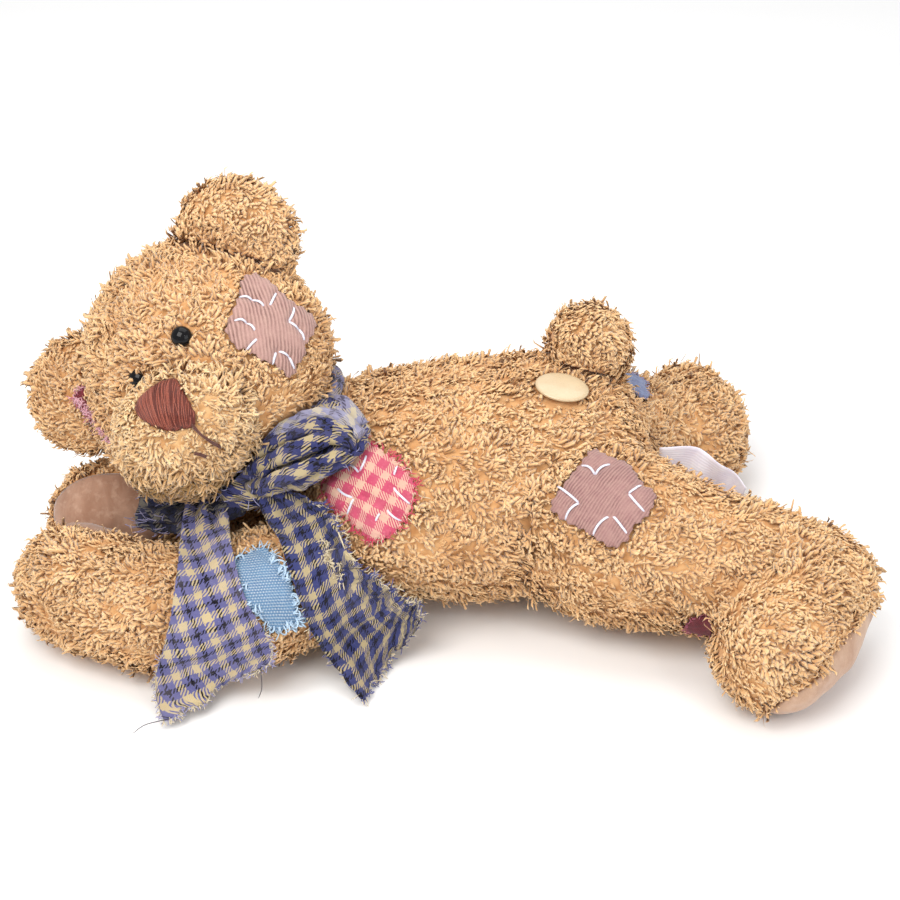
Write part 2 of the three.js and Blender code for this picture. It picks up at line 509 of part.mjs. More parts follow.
add('head_patch', headPatch, CORD_CLOTH);
add('hip_patch', hipPatch, CORD_CLOTH);
add('shoulder_patch', shoulderPatch, '#d8476a');
add('arm_patch', armPatch, '#8fb8d8');
add('ear_patch', earPatch, '#7c2a35');
add('right_leg_patch', rightLegPatch, '#8ea0bd');
add('left_leg_patch', leftLegPatch, '#6e2430');
add('scarf', scarf, '#5a6494');
add('label', label, '#eceaf2', 0.5);
add('badge', badge, '#f0e3a8', 0.25);

// the origin is the middle of the bear's footprint box
const box = new THREE.Box3().setFromObject(group);
group.position.set(-(box.min.x + box.max.x) / 2, -(box.min.y + box.max.y) / 2, 0);

export default group;
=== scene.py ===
# A threadbare teddy bear lying on its belly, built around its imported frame.
# Lengths in the tables below are millimetres in the frame in which the bear was drawn;
# SHIFT moves that frame to the row's frame.
import math

import bpy
import numpy as np
from mathutils import Matrix, Vector
from mathutils.bvhtree import BVHTree
from mathutils.geometry import delaunay_2d_cdt


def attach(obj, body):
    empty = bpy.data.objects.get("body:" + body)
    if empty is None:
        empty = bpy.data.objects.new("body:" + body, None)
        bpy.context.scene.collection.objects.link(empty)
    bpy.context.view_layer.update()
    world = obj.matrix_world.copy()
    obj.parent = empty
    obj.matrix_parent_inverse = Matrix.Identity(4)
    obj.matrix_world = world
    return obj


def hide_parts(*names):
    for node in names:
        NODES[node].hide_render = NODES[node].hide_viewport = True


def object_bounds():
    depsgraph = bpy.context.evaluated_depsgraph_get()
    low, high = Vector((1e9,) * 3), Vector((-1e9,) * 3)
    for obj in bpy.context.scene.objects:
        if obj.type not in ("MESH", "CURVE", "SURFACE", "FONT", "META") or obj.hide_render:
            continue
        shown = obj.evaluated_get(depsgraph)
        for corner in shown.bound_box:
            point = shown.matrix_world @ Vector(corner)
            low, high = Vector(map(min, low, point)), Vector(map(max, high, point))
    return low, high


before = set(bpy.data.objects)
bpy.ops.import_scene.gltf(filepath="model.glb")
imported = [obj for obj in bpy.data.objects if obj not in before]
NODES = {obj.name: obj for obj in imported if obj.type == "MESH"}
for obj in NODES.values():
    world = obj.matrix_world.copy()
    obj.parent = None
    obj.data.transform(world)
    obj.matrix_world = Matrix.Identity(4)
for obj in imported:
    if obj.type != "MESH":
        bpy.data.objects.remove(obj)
CAD_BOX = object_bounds()

SHIFT = np.array([2.644, 20.265, 0.0])
TARGET = np.array([0.0, 0.0, 45.0])
ELEVATION = math.radians(32.0)
DISTANCE = 850.0


def metres(p):
    return (np.asarray(p, float) + SHIFT) * 0.001


# ------------------------------------------------------------------ camera and light
def look_at(obj, target):
    d = Vector(target) - obj.location
    obj.rotation_mode = "QUATERNION"
    obj.rotation_quaternion = d.to_track_quat("-Z", "Y")


scene = bpy.context.scene
camera = bpy.data.objects.new("camera", bpy.data.cameras.new("camera"))
scene.collection.objects.link(camera)
camera.data.lens = 85
camera.data.sensor_width = 36
eye = TARGET + DISTANCE * np.array([0, -math.cos(ELEVATION), math.sin(ELEVATION)])
camera.location = Vector(metres(eye))
look_at(camera, metres(TARGET))
camera.data.clip_start, camera.data.clip_end = 0.05, 20
scene.camera = camera
scene.view_settings.view_transform = "Standard"
scene.view_settings.look = "None"
scene.view_settings.exposure = 0.0
scene.view_settings.gamma = 1.0


def area_light(name, place, target, size, power, colour=(1, 1, 1)):
    data = bpy.data.lights.new(name, "AREA")
    data.shape = "RECTANGLE"
    data.size, data.size_y = size
    data.energy = power
    data.color = colour
    obj = bpy.data.objects.new(name, data)
    scene.collection.objects.link(obj)
    obj.location = Vector(metres(place))
    look_at(obj, metres(target))
    return obj


area_light("key", (-420, -620, 980), (0, 0, 30), (0.75, 0.75), 11.0, (1.0, 0.975, 0.94))
area_light("fill", (760, -700, 420), (0, 0, 40), (0.8, 0.6), 3.2, (0.95, 0.97, 1.0))
area_light("catch", (520, -760, 860), (-90, -40, 110), (0.07, 0.07), 0.7, (1.0, 1.0, 1.0))
area_light("top", (60, 260, 1000), (0, 0, 40), (1.0, 0.8), 5.0, (1.0, 0.99, 0.97))

world = bpy.data.worlds.new("studio")
scene.world = world
world.use_nodes = True
world.node_tree.nodes["Background"].inputs["Color"].default_value = (0.97, 0.98, 1.0, 1)
world.node_tree.nodes["Background"].inputs["Strength"].default_value = 0.56


# ------------------------------------------------------------------ material helpers
def srgb(r, g, b):
    out = []
    for v in (r, g, b):
        v = v / 255.0
        out.append(v / 12.92 if v <= 0.04045 else ((v + 0.055) / 1.055) ** 2.4)
    return (*out, 1.0)


class Mat:
    """A small writer of node trees."""

    def __init__(self, name, roughness=0.85, specular=0.3, **sockets):
        self.mat = bpy.data.materials.new(name)
        self.mat.use_nodes = True
        self.tree = self.mat.node_tree
        self.bsdf = self.tree.nodes["Principled BSDF"]
        self.bsdf.inputs["Roughness"].default_value = roughness
        self.bsdf.inputs["Specular IOR Level"].default_value = specular
        for k, v in sockets.items():
            self.bsdf.inputs[k.replace("_", " ")].default_value = v

    def node(self, kind, **props):
        n = self.tree.nodes.new(kind)
        for k, v in props.items():
            setattr(n, k, v)
        return n

    def link(self, a, b):
        self.tree.links.new(a, b)
        return b

    def put(self, socket, value):
        if hasattr(value, "is_output"):
            self.tree.links.new(value, socket)
        else:
            socket.default_value = value

    def uv(self, name="UVMap"):
        return self.node("ShaderNodeUVMap", uv_map=name).outputs["UV"]

    def coords(self):
        return self.node("ShaderNodeTexCoord").outputs["Object"]

    def split(self, vector):
        n = self.node("ShaderNodeSeparateXYZ")
        self.put(n.inputs[0], vector)
        return n.outputs[0], n.outputs[1], n.outputs[2]

    def joined(self, x, y, z=0.0):
        n = self.node("ShaderNodeCombineXYZ")
        for i, v in enumerate((x, y, z)):
            self.put(n.inputs[i], v)
        return n.outputs[0]

    def math(self, op, a, b=0.0, c=0.0, clamp=False):
        n = self.node("ShaderNodeMath", operation=op, use_clamp=clamp)
        self.put(n.inputs[0], a)
        self.put(n.inputs[1], b)
        if len(n.inputs) > 2:
            self.put(n.inputs[2], c)
        return n.outputs[0]

    def noise(self, vector, scale, detail=3.0, roughness=0.55, distortion=0.0, dims="3D"):
        n = self.node("ShaderNodeTexNoise", noise_dimensions=dims)
        self.put(n.inputs["Vector"], vector)
        n.inputs["Scale"].default_value = scale
        n.inputs["Detail"].default_value = detail
        n.inputs["Roughness"].default_value = roughness
        n.inputs["Distortion"].default_value = distortion
        return n.outputs["Fac"]

    def scaled(self, vector, scale, rotation=(0, 0, 0), location=(0, 0, 0)):
        n = self.node("ShaderNodeMapping")
        self.put(n.inputs["Vector"], vector)
        n.inputs["Scale"].default_value = scale
        n.inputs["Rotation"].default_value = rotation
        n.inputs["Location"].default_value = location
        return n.outputs["Vector"]

    def ramp(self, fac, stops, mode="LINEAR"):
        n = self.node("ShaderNodeValToRGB")
        self.put(n.inputs["Fac"], fac)
        r = n.color_ramp
        r.interpolation = mode
        while len(r.elements) < len(stops):
            r.elements.new(0.5)
        for e, (at, colour) in zip(r.elements, sorted(stops, key=lambda s: s[0])):
            e.position = at
            e.color = colour if hasattr(colour, "__len__") else (colour, colour, colour, 1)
        return n.outputs["Color"]

    def level(self, value, low, high, to_low=0.0, to_high=1.0, smooth=False):
        n = self.node("ShaderNodeMapRange", interpolation_type="SMOOTHSTEP" if smooth else "LINEAR")
        self.put(n.inputs["Value"], value)
        n.inputs["From Min"].default_value = low
        n.inputs["From Max"].default_value = high
        n.inputs["To Min"].default_value = to_low
        n.inputs["To Max"].default_value = to_high
        return n.outputs["Result"]

    def mix(self, fac, a, b, blend="MIX"):
        n = self.node("ShaderNodeMix", data_type="RGBA", blend_type=blend, clamp_factor=True)
        self.put(n.inputs[0], fac)
        self.put(n.inputs[6], a)
        self.put(n.inputs[7], b)
        return n.outputs[2]

    def colour(self, value):
        self.put(self.bsdf.inputs["Base Color"], value)

    def bump(self, height, strength=0.5, distance=0.0004):
        n = self.node("ShaderNodeBump")
        n.inputs["Strength"].default_value = strength
        n.inputs["Distance"].default_value = distance
        self.put(n.inputs["Height"], height)
        self.link(n.outputs["Normal"], self.bsdf.inputs["Normal"])


def colour_mix(m, fac, a, b):
    return m.mix(fac, a, b)


# ------------------------------------------------------------------ meshes from arrays
def make_mesh(name, points, faces, uv=None, extra_uv=None, smooth=True):
    """points in millimetres, faces an (n,3) array or a list of loops, uv one pair per loop or per point."""
    me = bpy.data.meshes.new(name)
    pts = metres(points).astype(np.float32)
    if isinstance(faces, np.ndarray):
        loops = faces.astype(np.int32).ravel()
        starts = np.arange(0, len(loops), faces.shape[1], dtype=np.int32)
    else:
        loops = np.concatenate([np.asarray(f, np.int32) for f in faces])
        counts = np.array([len(f) for f in faces])
        starts = np.concatenate([[0], np.cumsum(counts)[:-1]]).astype(np.int32)
    me.vertices.add(len(pts))
    me.vertices.foreach_set("co", pts.ravel())
    me.loops.add(len(loops))
    me.loops.foreach_set("vertex_index", loops)
    me.polygons.add(len(starts))
    me.polygons.foreach_set("loop_start", starts)
    me.update(calc_edges=True)
    me.polygons.foreach_set("use_smooth", np.full(len(starts), smooth, bool))
    for title, values in (("UVMap", uv), ("OFBake", extra_uv)):
        if values is not None:
            layer = me.uv_layers.new(name=title)
            values = np.asarray(values, np.float32)
            if len(values) == len(pts):
                values = values[loops]
            layer.uv.foreach_set("vector", values.ravel())
    me.validate(clean_customdata=False)
    obj = bpy.data.objects.new(name, me)
    scene.collection.objects.link(obj)
    return obj


def dress(obj, material, body="root"):
    obj.data.materials.clear()
    obj.data.materials.append(material)
    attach(obj, body)
    return obj


# ------------------------------------------------------------------ the plush's own shape
def unit(v):
    v = np.asarray(v, float)
    return v / np.maximum(np.linalg.norm(v, axis=-1, keepdims=True), 1e-12)


def ellipsoid(at, r, axes=None):
    at, r = np.array(at, float), np.array(r, float)
    axes = np.eye(3) if axes is None else np.array(axes)

    def f(p):
        q = (p - at) @ axes.T
        k0 = np.linalg.norm(q / r, axis=-1)
        k1 = np.linalg.norm(q / r ** 2, axis=-1)
        return k0 * (k0 - 1) / np.maximum(k1, 1e-9)

    return f


def blended(k, fields):
    def f(p):
        d = fields[0](p)
        for g in fields[1:]:
            e = g(p)
            h = np.maximum(k - np.abs(d - e), 0) / k
            d = np.minimum(d, e) - h * h * k / 4
        return d

    return f


def spline(points, n, power=0.5):
    """Centripetal Catmull-Rom through the points, n+1 samples."""
    P = [np.array(p, float) for p in points]
    m = len(P)
    out = []
    for k in range(n + 1):
        t = k / n * (m - 1)
        i = min(int(t), m - 2)
        w = t - i
        p1, p2 = P[i], P[i + 1]
        p0 = P[i - 1] if i > 0 else 2 * P[0] - P[1]
        p3 = P[i + 2] if i + 2 < m else 2 * P[-1] - P[-2]
        d0 = max(np.sum((p0 - p1) ** 2) ** (power / 2), 1e-4)
        d1 = max(np.sum((p1 - p2) ** 2) ** (power / 2), 1e-4)
        d2 = max(np.sum((p2 - p3) ** 2) ** (power / 2), 1e-4)
        a = ((p1 - p0) / d0 - (p2 - p0) / (d0 + d1) + (p2 - p1) / d1) * d1
        b = ((p2 - p1) / d1 - (p3 - p1) / (d1 + d2) + (p3 - p2) / d2) * d1
        out.append(p1 + a * w + (-3 * p1 + 3 * p2 - 2 * a - b) * w * w + (2 * p1 - 2 * p2 + a + b) * w ** 3)
    return np.array(out)


def limb(path, r, n=28):
    C = spline(path, n)
    R = spline([[a, b, 0] for a, b in r], n)[:, :2].mean(1)
    A, B = C[:-1], C[1:]
    D = B - A
    DD = (D * D).sum(1)

    def f(p):
        p = np.asarray(p, float)
        flat = p.reshape(-1, 3)
        out = np.empty(len(flat))
        for s in range(0, len(flat), 40000):
            q = flat[s:s + 40000, None, :] - A
            t = np.clip((q * D).sum(-1) / DD, 0, 1)
            away = np.linalg.norm(q - t[..., None] * D, axis=-1)
            out[s:s + 40000] = (away - (R[:-1] * (1 - t) + R[1:] * t)).min(1)
        return out.reshape(p.shape[:-1])

    f.line = C
    return f


HEAD_AT = np.array([-94, -11, 93.5])
FACE = unit([-0.244, -0.881, 0.405])
CROWN = np.array([-0.641, 0.46, 0.615])
CROWN = unit(CROWN - (CROWN @ FACE) * FACE)
LEFT = unit(np.cross(CROWN, FACE))
AXES = [LEFT, CROWN, FACE]


def on_head(side, up, out):
    return HEAD_AT + LEFT * side + CROWN * up + FACE * out


F_TORSO = blended(12, [
    ellipsoid([-24, -23, 45], [38, 53, 37]), ellipsoid([10, -13.5, 41.3], [56, 59, 42.5]),
    ellipsoid([42, -8, 42.2], [40, 50, 43]), ellipsoid([-46, -17, 58], [20, 26, 25])])
F_HEAD = blended(8, [ellipsoid(HEAD_AT, [46, 46, 45], AXES), ellipsoid(on_head(0, -12, 10), [50, 37, 36], AXES)])
F_MUZZLE = ellipsoid(on_head(-10, -21, 34), [30, 25, 30], AXES)
F_LEFT_EAR = ellipsoid(on_head(41, 23.5, 8), [25, 25, 10], AXES)
F_RIGHT_EAR = ellipsoid(on_head(-46, 20.5, 3), [24, 24, 10], AXES)
F_LEFT_ARM = limb([[-50, -61, 29], [-68, -73, 27], [-96, -79, 24], [-122, -73, 23.6], [-141, -63, 23.7]],
                  [[23, 23], [25, 25], [24, 24], [24, 24.5], [24, 24.5]])
F_RIGHT_ARM = limb([[-54, 4, 36], [-80, 2, 28], [-108, -8, 23.6], [-136, -17, 23.6]],
                   [[22, 22], [24, 24], [24, 24], [23.5, 24]])
F_LEFT_LEG_ONLY = limb([[40, -38, 42], [64, -52, 39], [92, -60, 34], [116, -66, 31], [131, -70, 30]],
                       [[34, 33], [34, 34], [28, 29], [26, 27], [22, 24]])
F_LEFT_FOOT = limb([[136, -73, 28], [128, -88.5, 25.2], [118.5, -102.5, 24.4]],
                   [[24, 25.5], [25, 26], [23.5, 25]])
F_LEFT_LEG = blended(5, [F_LEFT_LEG_ONLY, F_LEFT_FOOT])
F_RIGHT_LEG_ONLY = limb([[42, 10, 42], [62, 24, 36], [84, 38, 28], [98, 46, 26]],
                        [[32, 32], [30, 30], [24, 24], [22, 22]])
F_RIGHT_FOOT = limb([[103, 44, 24.4], [103, 54, 23.2], [101, 62, 22.8]],
                    [[23.5, 25], [23.5, 24], [23, 23.5]])
F_RIGHT_LEG = blended(5, [F_RIGHT_LEG_ONLY, F_RIGHT_FOOT])
F_TAIL = ellipsoid([54.5, 8, 88], [17.2, 17.2, 17.2])


def gradient(f, p, h=0.05):
    g = np.empty_like(p)
    for k in range(3):
        d = np.zeros(3)
        d[k] = h
        g[:, k] = (f(p + d) - f(p - d)) / (2 * h)
    return unit(g)


def settle(f, p, level=0.0, steps=3):
    """Moves points along the field's gradient to a level."""
    p = np.array(p, float)
    for _ in range(steps):
        g = gradient(f, p)
        p = p - g * (f(p) - level)[:, None]
    return p


def ray_to(f, at, way, level, far=30.0):
    """The nearest crossing of a level, walking from at + way*far towards at - way*far."""
    at = np.asarray(at, float)
    way = np.asarray(way, float)
    t = np.full(len(at), far)
    for _ in range(60):
        v = f(at + way * t[:, None]) - level
        t = t - np.clip(v, -3, 3) * 0.9
        if np.abs(v).max() < 0.01:
            break
    return at + way * t[:, None]


# ------------------------------------------------------------------ helpers for shapes
def waves(seed, wavelength, count=12, dims=3):
    """A smooth field of about unit size, from sines in random directions."""
    r = np.random.default_rng(seed)
    k = unit(r.normal(size=(count, dims))) * (2 * np.pi / (wavelength * r.uniform(0.65, 1.6, (count, 1))))
    phase = r.uniform(0, 2 * np.pi, count)
    a = r.uniform(0.5, 1, count)
    a = a / np.sqrt((a ** 2).sum() / 2)
    return lambda p: (np.sin(np.asarray(p) @ k.T + phase) * a).sum(-1)


def node_triangles(name):
    """A CAD node's triangles in millimetres of the drawing frame."""
    o = NODES[name]
    me = o.data
    me.calc_loop_triangles()
    co = np.empty(len(me.vertices) * 3, np.float32)
    me.vertices.foreach_get("co", co)
    m = np.array(o.matrix_world)
    co = co.reshape(-1, 3) @ m[:3, :3].T + m[:3, 3]
    tri = np.empty(len(me.loop_triangles) * 3, np.int32)
    me.loop_triangles.foreach_get("vertices", tri)
    return (co * 1000 - SHIFT)[tri.reshape(-1, 3)]


def tube(line, radius, sides=6, twist=0.0):
    """A closed round strand along a line of points: (points, faces, (around, along) per point)."""
    L = np.asarray(line, float)
    n = len(L)
    radius = np.broadcast_to(np.asarray(radius, float), (n,)) if np.ndim(radius) < 2 else radius
    T = unit(np.gradient(L, axis=0))
    side = np.cross(T[0], [0.3, 0.2, 1.0])
    side = unit(side)
    S = np.empty_like(L)
    for i in range(n):
        side = unit(side - (side @ T[i]) * T[i])
        S[i] = side
    U = np.cross(T, S)
    a = np.linspace(0, 2 * np.pi, sides, endpoint=False)
    ring = []
    for i in range(n):
        b = a + twist * i
        ring.append(L[i] + radius[i] * (np.cos(b)[:, None] * S[i] + np.sin(b)[:, None] * U[i]))
    P = np.concatenate(ring + [L[:1] - T[:1] * radius[0] * 0.5, L[-1:] + T[-1:] * radius[-1] * 0.5])
    F = []
    for i in range(n - 1):
        for j in range(sides):
            k = (j + 1) % sides
            p, q, r, s = i * sides + j, i * sides + k, (i + 1) * sides + k, (i + 1) * sides + j
            F += [(p, q, r), (p, r, s)]
    e0, e1 = n * sides, n * sides + 1
    for j in range(sides):
        k = (j + 1) % sides
        F += [(k, j, e0), ((n - 1) * sides + j, (n - 1) * sides + k, e1)]
    along = np.concatenate([[0], np.cumsum(np.linalg.norm(np.diff(L, axis=0), axis=1))])
    uv = np.stack([np.tile(np.arange(sides) / sides, n), np.repeat(along, sides)], -1)
    uv = np.concatenate([uv, [[0.5, 0.0], [0.5, along[-1]]]])
    return P, np.array(F), uv


class Pile:
    """Collects parts of one mesh."""

    def __init__(self):
        self.P, self.F, self.U, self.n = [], [], [], 0

    def add(self, P, F, U):
        self.P.append(P)
        self.F.append(np.asarray(F) + self.n)
        self.U.append(U)
        self.n += len(P)

    def mesh(self, name, smooth=True, bake=False):
        P, F, U = np.concatenate(self.P), np.concatenate(self.F), np.concatenate(self.U)
        return make_mesh(name, P, F, None if bake else U, U if bake else None, smooth)


def frame_of(piece):
    n = unit(np.array(piece["out"], float))
    x = np.array(piece.get("along", [1.0, 0, 0]), float)
    x = unit(x - (x @ n) * n)
    return np.array(piece["at"], float), x, np.cross(n, x), n


def inside(poly, p):
    """Even-odd test of points (n,2) in a polygon."""
    x, y = p[:, 0], p[:, 1]
    res = np.zeros(len(p), bool)
    q = np.roll(poly, -1, 0)
    for (x0, y0), (x1, y1) in zip(poly, q):
        hit = (y0 > y) != (y1 > y)
        with np.errstate(divide="ignore", invalid="ignore"):
            xs = (x1 - x0) * (y - y0) / (y1 - y0) + x0
        res ^= hit & (x < xs)
    return res


def edge_distance(poly, p):
    a, b = poly, np.roll(poly, -1, 0)
    d = b - a
    q = p[:, None, :] - a
    t = np.clip((q * d).sum(-1) / np.maximum((d * d).sum(-1), 1e-9), 0, 1)
    return np.linalg.norm(q - t[..., None] * d, axis=-1).min(1)


def resample(poly, step):
    q = np.concatenate([poly, poly[:1]])
    s = np.concatenate([[0], np.cumsum(np.linalg.norm(np.diff(q, axis=0), axis=1))])
    n = max(8, int(s[-1] / step))
    t = np.linspace(0, s[-1], n, endpoint=False)
    return np.stack([np.interp(t, s, q[:, 0]), np.interp(t, s, q[:, 1])], -1), s[-1]


def rounded(poly, times=1):
    for _ in range(times):
        q = np.roll(poly, -1, 0)
        poly = np.stack([poly * 0.84 + q * 0.16, poly * 0.16 + q * 0.84], 1).reshape(-1, 2)
    return poly


def pinked(poly, step, depth, tooth, seed=0):
    """The outline with small saw-cut or frayed teeth."""
    r = np.random.default_rng(seed)
    pts, total = resample(poly, step)
    s = np.arange(len(pts)) * (total / len(pts))
    nxt, prv = np.roll(pts, -1, 0), np.roll(pts, 1, 0)
    t = unit(nxt - prv)
    area = 0.5 * np.sum(pts[:, 0] * np.roll(pts[:, 1], -1) - np.roll(pts[:, 0], -1) * pts[:, 1])
    out = np.stack([t[:, 1], -t[:, 0]], -1) * np.sign(area)
    m = max(3, round(total / tooth))
    wave = np.abs(((s / total * m) % 1) * 2 - 1) - 0.5
    return pts + out * (wave * depth * 2 + r.normal(0, depth * 0.25, len(pts)))[:, None]


def sewn_cloth(name, piece, field, height, thick=0.7, step=0.8, pink=(0.9, 0.35, 2.6), seed=1, grow=0.0, keep=None):
    """A closed thin cloth lying over a field inside an outline; height(x, y, edge) is over the field."""
    at, x, y, n = frame_of(piece)
    if "oval" in piece:
        a = np.linspace(0, 2 * np.pi, 60, endpoint=False)
        poly = np.stack([np.cos(a) * (piece["oval"][0] + grow), np.sin(a) * (piece["oval"][1] + grow)], -1)
    else:
        poly = rounded(np.array(piece["outline"], float), 1)
        if grow:
            poly = poly * (1 + grow / np.abs(poly).mean() * 0.6)
    if pink:
        edge = pinked(poly, pink[0], pink[1], pink[2], seed)
    else:
        edge, _ = resample(poly, 0.9)
    lo, hi = edge.min(0), edge.max(0)
    gx, gy = np.meshgrid(np.arange(lo[0], hi[0], step), np.arange(lo[1], hi[1], step))
    r = np.random.default_rng(seed)
    g = np.stack([gx.ravel(), gy.ravel()], -1) + r.uniform(-0.12, 0.12, (gx.size, 2)) * step
    g = g[inside(edge, g)]
    g = g[edge_distance(edge, g) > step * 0.45]
    pts = np.concatenate([edge, g])
    m = len(edge)
    verts, _, faces, orig, _, _ = delaunay_2d_cdt(
        [Vector(p) for p in pts], [(i, (i + 1) % m) for i in range(m)], [], 2, 1e-6)
    flat = np.array([v[:] for v in verts])
    F = np.array([f[:] for f in faces if len(f) == 3])
    mid = flat[F].mean(1)
    ok = inside(edge, mid)
    F = F[ok]
    used = np.unique(F)
    remap = np.full(len(flat), -1)
    remap[used] = np.arange(len(used))
    flat, F = flat[used], remap[F]
    e = edge_distance(edge, flat)
    base = at + flat[:, :1] * x + flat[:, 1:] * y
    surf = ray_to(field, base + 0 * base, np.broadcast_to(n, base.shape), 0.0, far=26.0)
    if keep is not None:
        ok = keep(surf)
        okf = ok[F].all(1)
        F = F[okf]
        used = np.unique(F)
        remap = np.full(len(flat), -1)
        remap[used] = np.arange(len(used))
        flat, F, surf, e = flat[used], remap[F], surf[used], e[used]
    normal = gradient(field, surf)
    h = height(flat[:, 0], flat[:, 1], e)
    top = surf + normal * h[:, None]
    low = surf + normal * (h - thick)[:, None]
    a, b, c = flat[F[:, 0]], flat[F[:, 1]], flat[F[:, 2]]
    turn = (b[:, 0] - a[:, 0]) * (c[:, 1] - a[:, 1]) - (b[:, 1] - a[:, 1]) * (c[:, 0] - a[:, 0])
    F = np.where((turn < 0)[:, None], F[:, ::-1], F)
    count = {}
    for f in F:
        for i in range(3):
            count[(f[i], f[(i + 1) % 3])] = 1
    rim = [(i, j) for (i, j) in count if (j, i) not in count]
    N = len(flat)
    walls = []
    for i, j in rim:
        walls += [(j, i, i + N), (j, i + N, j + N)]
    faces = np.concatenate([F, F[:, ::-1] + N, np.array(walls)])
    P = np.concatenate([top, low])
    uv = np.concatenate([flat, flat]) / 100.0 + 0.5
    obj = make_mesh(name, P, faces, uv)
    return obj, dict(flat=flat, edge=edge, at=at, x=x, y=y, n=n, field=field, height=height)


def on_cloth(info, xy, lift=0.0):
    """Points just over a sewn cloth, from its plane's millimetres."""
    xy = np.asarray(xy, float)
    base = info["at"] + xy[:, :1] * info["x"] + xy[:, 1:] * info["y"]
    surf = ray_to(info["field"], base, np.broadcast_to(info["n"], base.shape), 0.0, far=26.0)
    g = gradient(info["field"], surf)
    e = np.where(inside(info["edge"], xy), edge_distance(info["edge"], xy), 0)
    h = info["height"](xy[:, 0], xy[:, 1], e)
    return surf + g * (h + lift)[:, None]


def arc(a, b, bend=0.12, n=7, seed=0):
    """A slightly curved stitch between plane points."""
    a, b = np.array(a, float), np.array(b, float)
    t = np.linspace(0, 1, n)
    d = b - a
    side = np.array([-d[1], d[0]]) * bend
    return a + t[:, None] * d + np.sin(np.pi * t)[:, None] * side


def stitches(name, info, lines, radius=0.55, lift=0.45, seed=5):
    r = np.random.default_rng(seed)
    pile = Pile()
    for line in lines:
        for a, b in zip(line[:-1], line[1:]):
            xy = arc(a, b, r.uniform(-0.1, 0.14), 9)
            t = np.linspace(0, 1, 9)
            P = on_cloth(info, xy, 0)
            up = info["n"]
            P = P + up * (lift * np.sin(np.pi * np.clip(t * 1.0, 0, 1)) ** 0.5 - 0.35 * (np.abs(t * 2 - 1) ** 6))[:, None]
            for k in range(2):
                off = (np.cross(unit(np.gradient(P, axis=0)), up)) * (0.28 * (1 if k else -1)) * radius / 0.55
                w = np.sin(np.linspace(0, 5.5, 9) + k * 2.2)[:, None] * 0.12
                pile.add(*tube(P + off * (1 + w), radius * 0.72, 6))
    return pile.mesh(name)






# ------------------------------------------------------------------ the sewn-on pieces' places
HEAD_PATCH = {"at": [-65.8, -43.2, 124.6], "out": [0.45, -0.557, 0.698], "outline": [[-3.4, 23.1], [-0.4, 21.0], [2.6, 18.7], [6.2, 14.1], [8.9, 12.1], [14.5, 10.0], [18.8, 8.2], [19.2, 5.0], [18.1, 1.2], [15.0, -3.4], [15.2, -8.0], [12.8, -10.1], [12.5, -12.9], [11.0, -16.0], [6.6, -13.9], [2.6, -12.2], [-1.2, -12.1], [-4.1, -10.4], [-7.0, -9.2], [-10.9, -8.3], [-12.1, -6.2], [-14.7, -3.0], [-13.9, 1.7], [-12.3, 5.0], [-11.6, 7.9], [-10.0, 11.9], [-9.2, 17.0], [-8.0, 20.2]]}
HIP_PATCH = {"at": [57.1, -70.2, 66.8], "out": [-0.119, -0.51, 0.852], "outline": [[-3.9, 25.1], [1.6, 19.7], [8.2, 17.3], [13.1, 7.6], [18.8, 3.1], [15.1, -5.6], [9.1, -9.9], [7.4, -14.3], [1.8, -16.5], [-5.3, -12.0], [-9.5, -8.8], [-16.1, -5.1], [-21.1, 0.3], [-12.9, 10.3], [-8.7, 17.1]]}
SHOULDER_PATCH = {"at": [-28.8, -64.5, 67.1], "out": [-0.216, -0.688, 0.693], "outline": [[-10.9, 13.7], [-7.1, 18.7], [-2.9, 19.7], [1.2, 17.4], [6.7, 13.6], [11.7, 9.2], [15.1, 3.7], [15.1, -1.2], [14.3, -6.0], [12.4, -9.3], [8.6, -14.3], [4.8, -16.8], [-1.9, -17.4], [-5.7, -13.3], [-10.7, -8.7], [-15.2, -4.9], [-18.3, 0.4], [-21.2, 4.4], [-15.1, 7.7]]}
ARM_PATCH = {"at": [-66.8, -91.4, 44.0], "out": [0.227, -0.632, 0.741], "outline": [[-12.0, 9.4], [-7.0, 11.9], [-2.6, 14.9], [0.6, 14.2], [6.0, 5.9], [8.6, 4.2], [10.7, -5.7], [14.5, -10.5], [4.2, -15.5], [0.0, -11.9], [-7.4, -6.8], [-9.9, 0.0]]}
EAR_PATCH = {"at": [-135.1, -20.3, 75], "out": [-0.244, -0.881, 0.405], "outline": [[-9.4, 6.1], [-6.3, 2.2], [-3.6, -1.8], [-1.4, -7.2], [4.3, -12.4], [8.9, -9.8], [7.0, 0.8], [0.5, 9.3], [-4.1, 10.0]]}
RIGHT_LEG_PATCH = {"at": [79, 26, 53], "out": [0.15, -0.35, 0.92], "outline": [[-11, -6], [-4, -8], [0, -5], [-1, 1], [1, 6], [-4, 8], [-11, 6]]}
LEFT_LEG_PATCH = {"at": [94.5, -87.4, 25.2], "out": [-0.19, -0.958, -0.217], "outline": [[-5, 1.5], [2, 2], [4, -2], [6, -8], [4, -11], [-6, -10], [-7, -5]]}
NOSE = {"at": [-102.5, -73.6, 110.3], "out": [-0.43, -0.672, 0.602], "outline": [[1.4, 10.7], [5.3, 5.7], [8.3, 0.5], [10.1, -3.8], [9.3, -7.6], [2.2, -9.4], [-4.5, -7.5], [-10.4, -3.7], [-13.0, 0.0], [-12.1, 4.0], [-8.5, 6.9], [-3.9, 9.8]]}
MOUTH = {"at": [-88.4, -80.9, 101.1], "out": [0.11, -0.977, 0.18], "outline": [[-4.4, 5.4], [-2.4, 3.2], [-0.4, 1.1], [3.6, -2.1], [7.3, -5.7], [6.5, -7.3], [2.4, -4.0], [-2.0, -0.9], [-4.2, 1.9], [-5.7, 4.1]]}
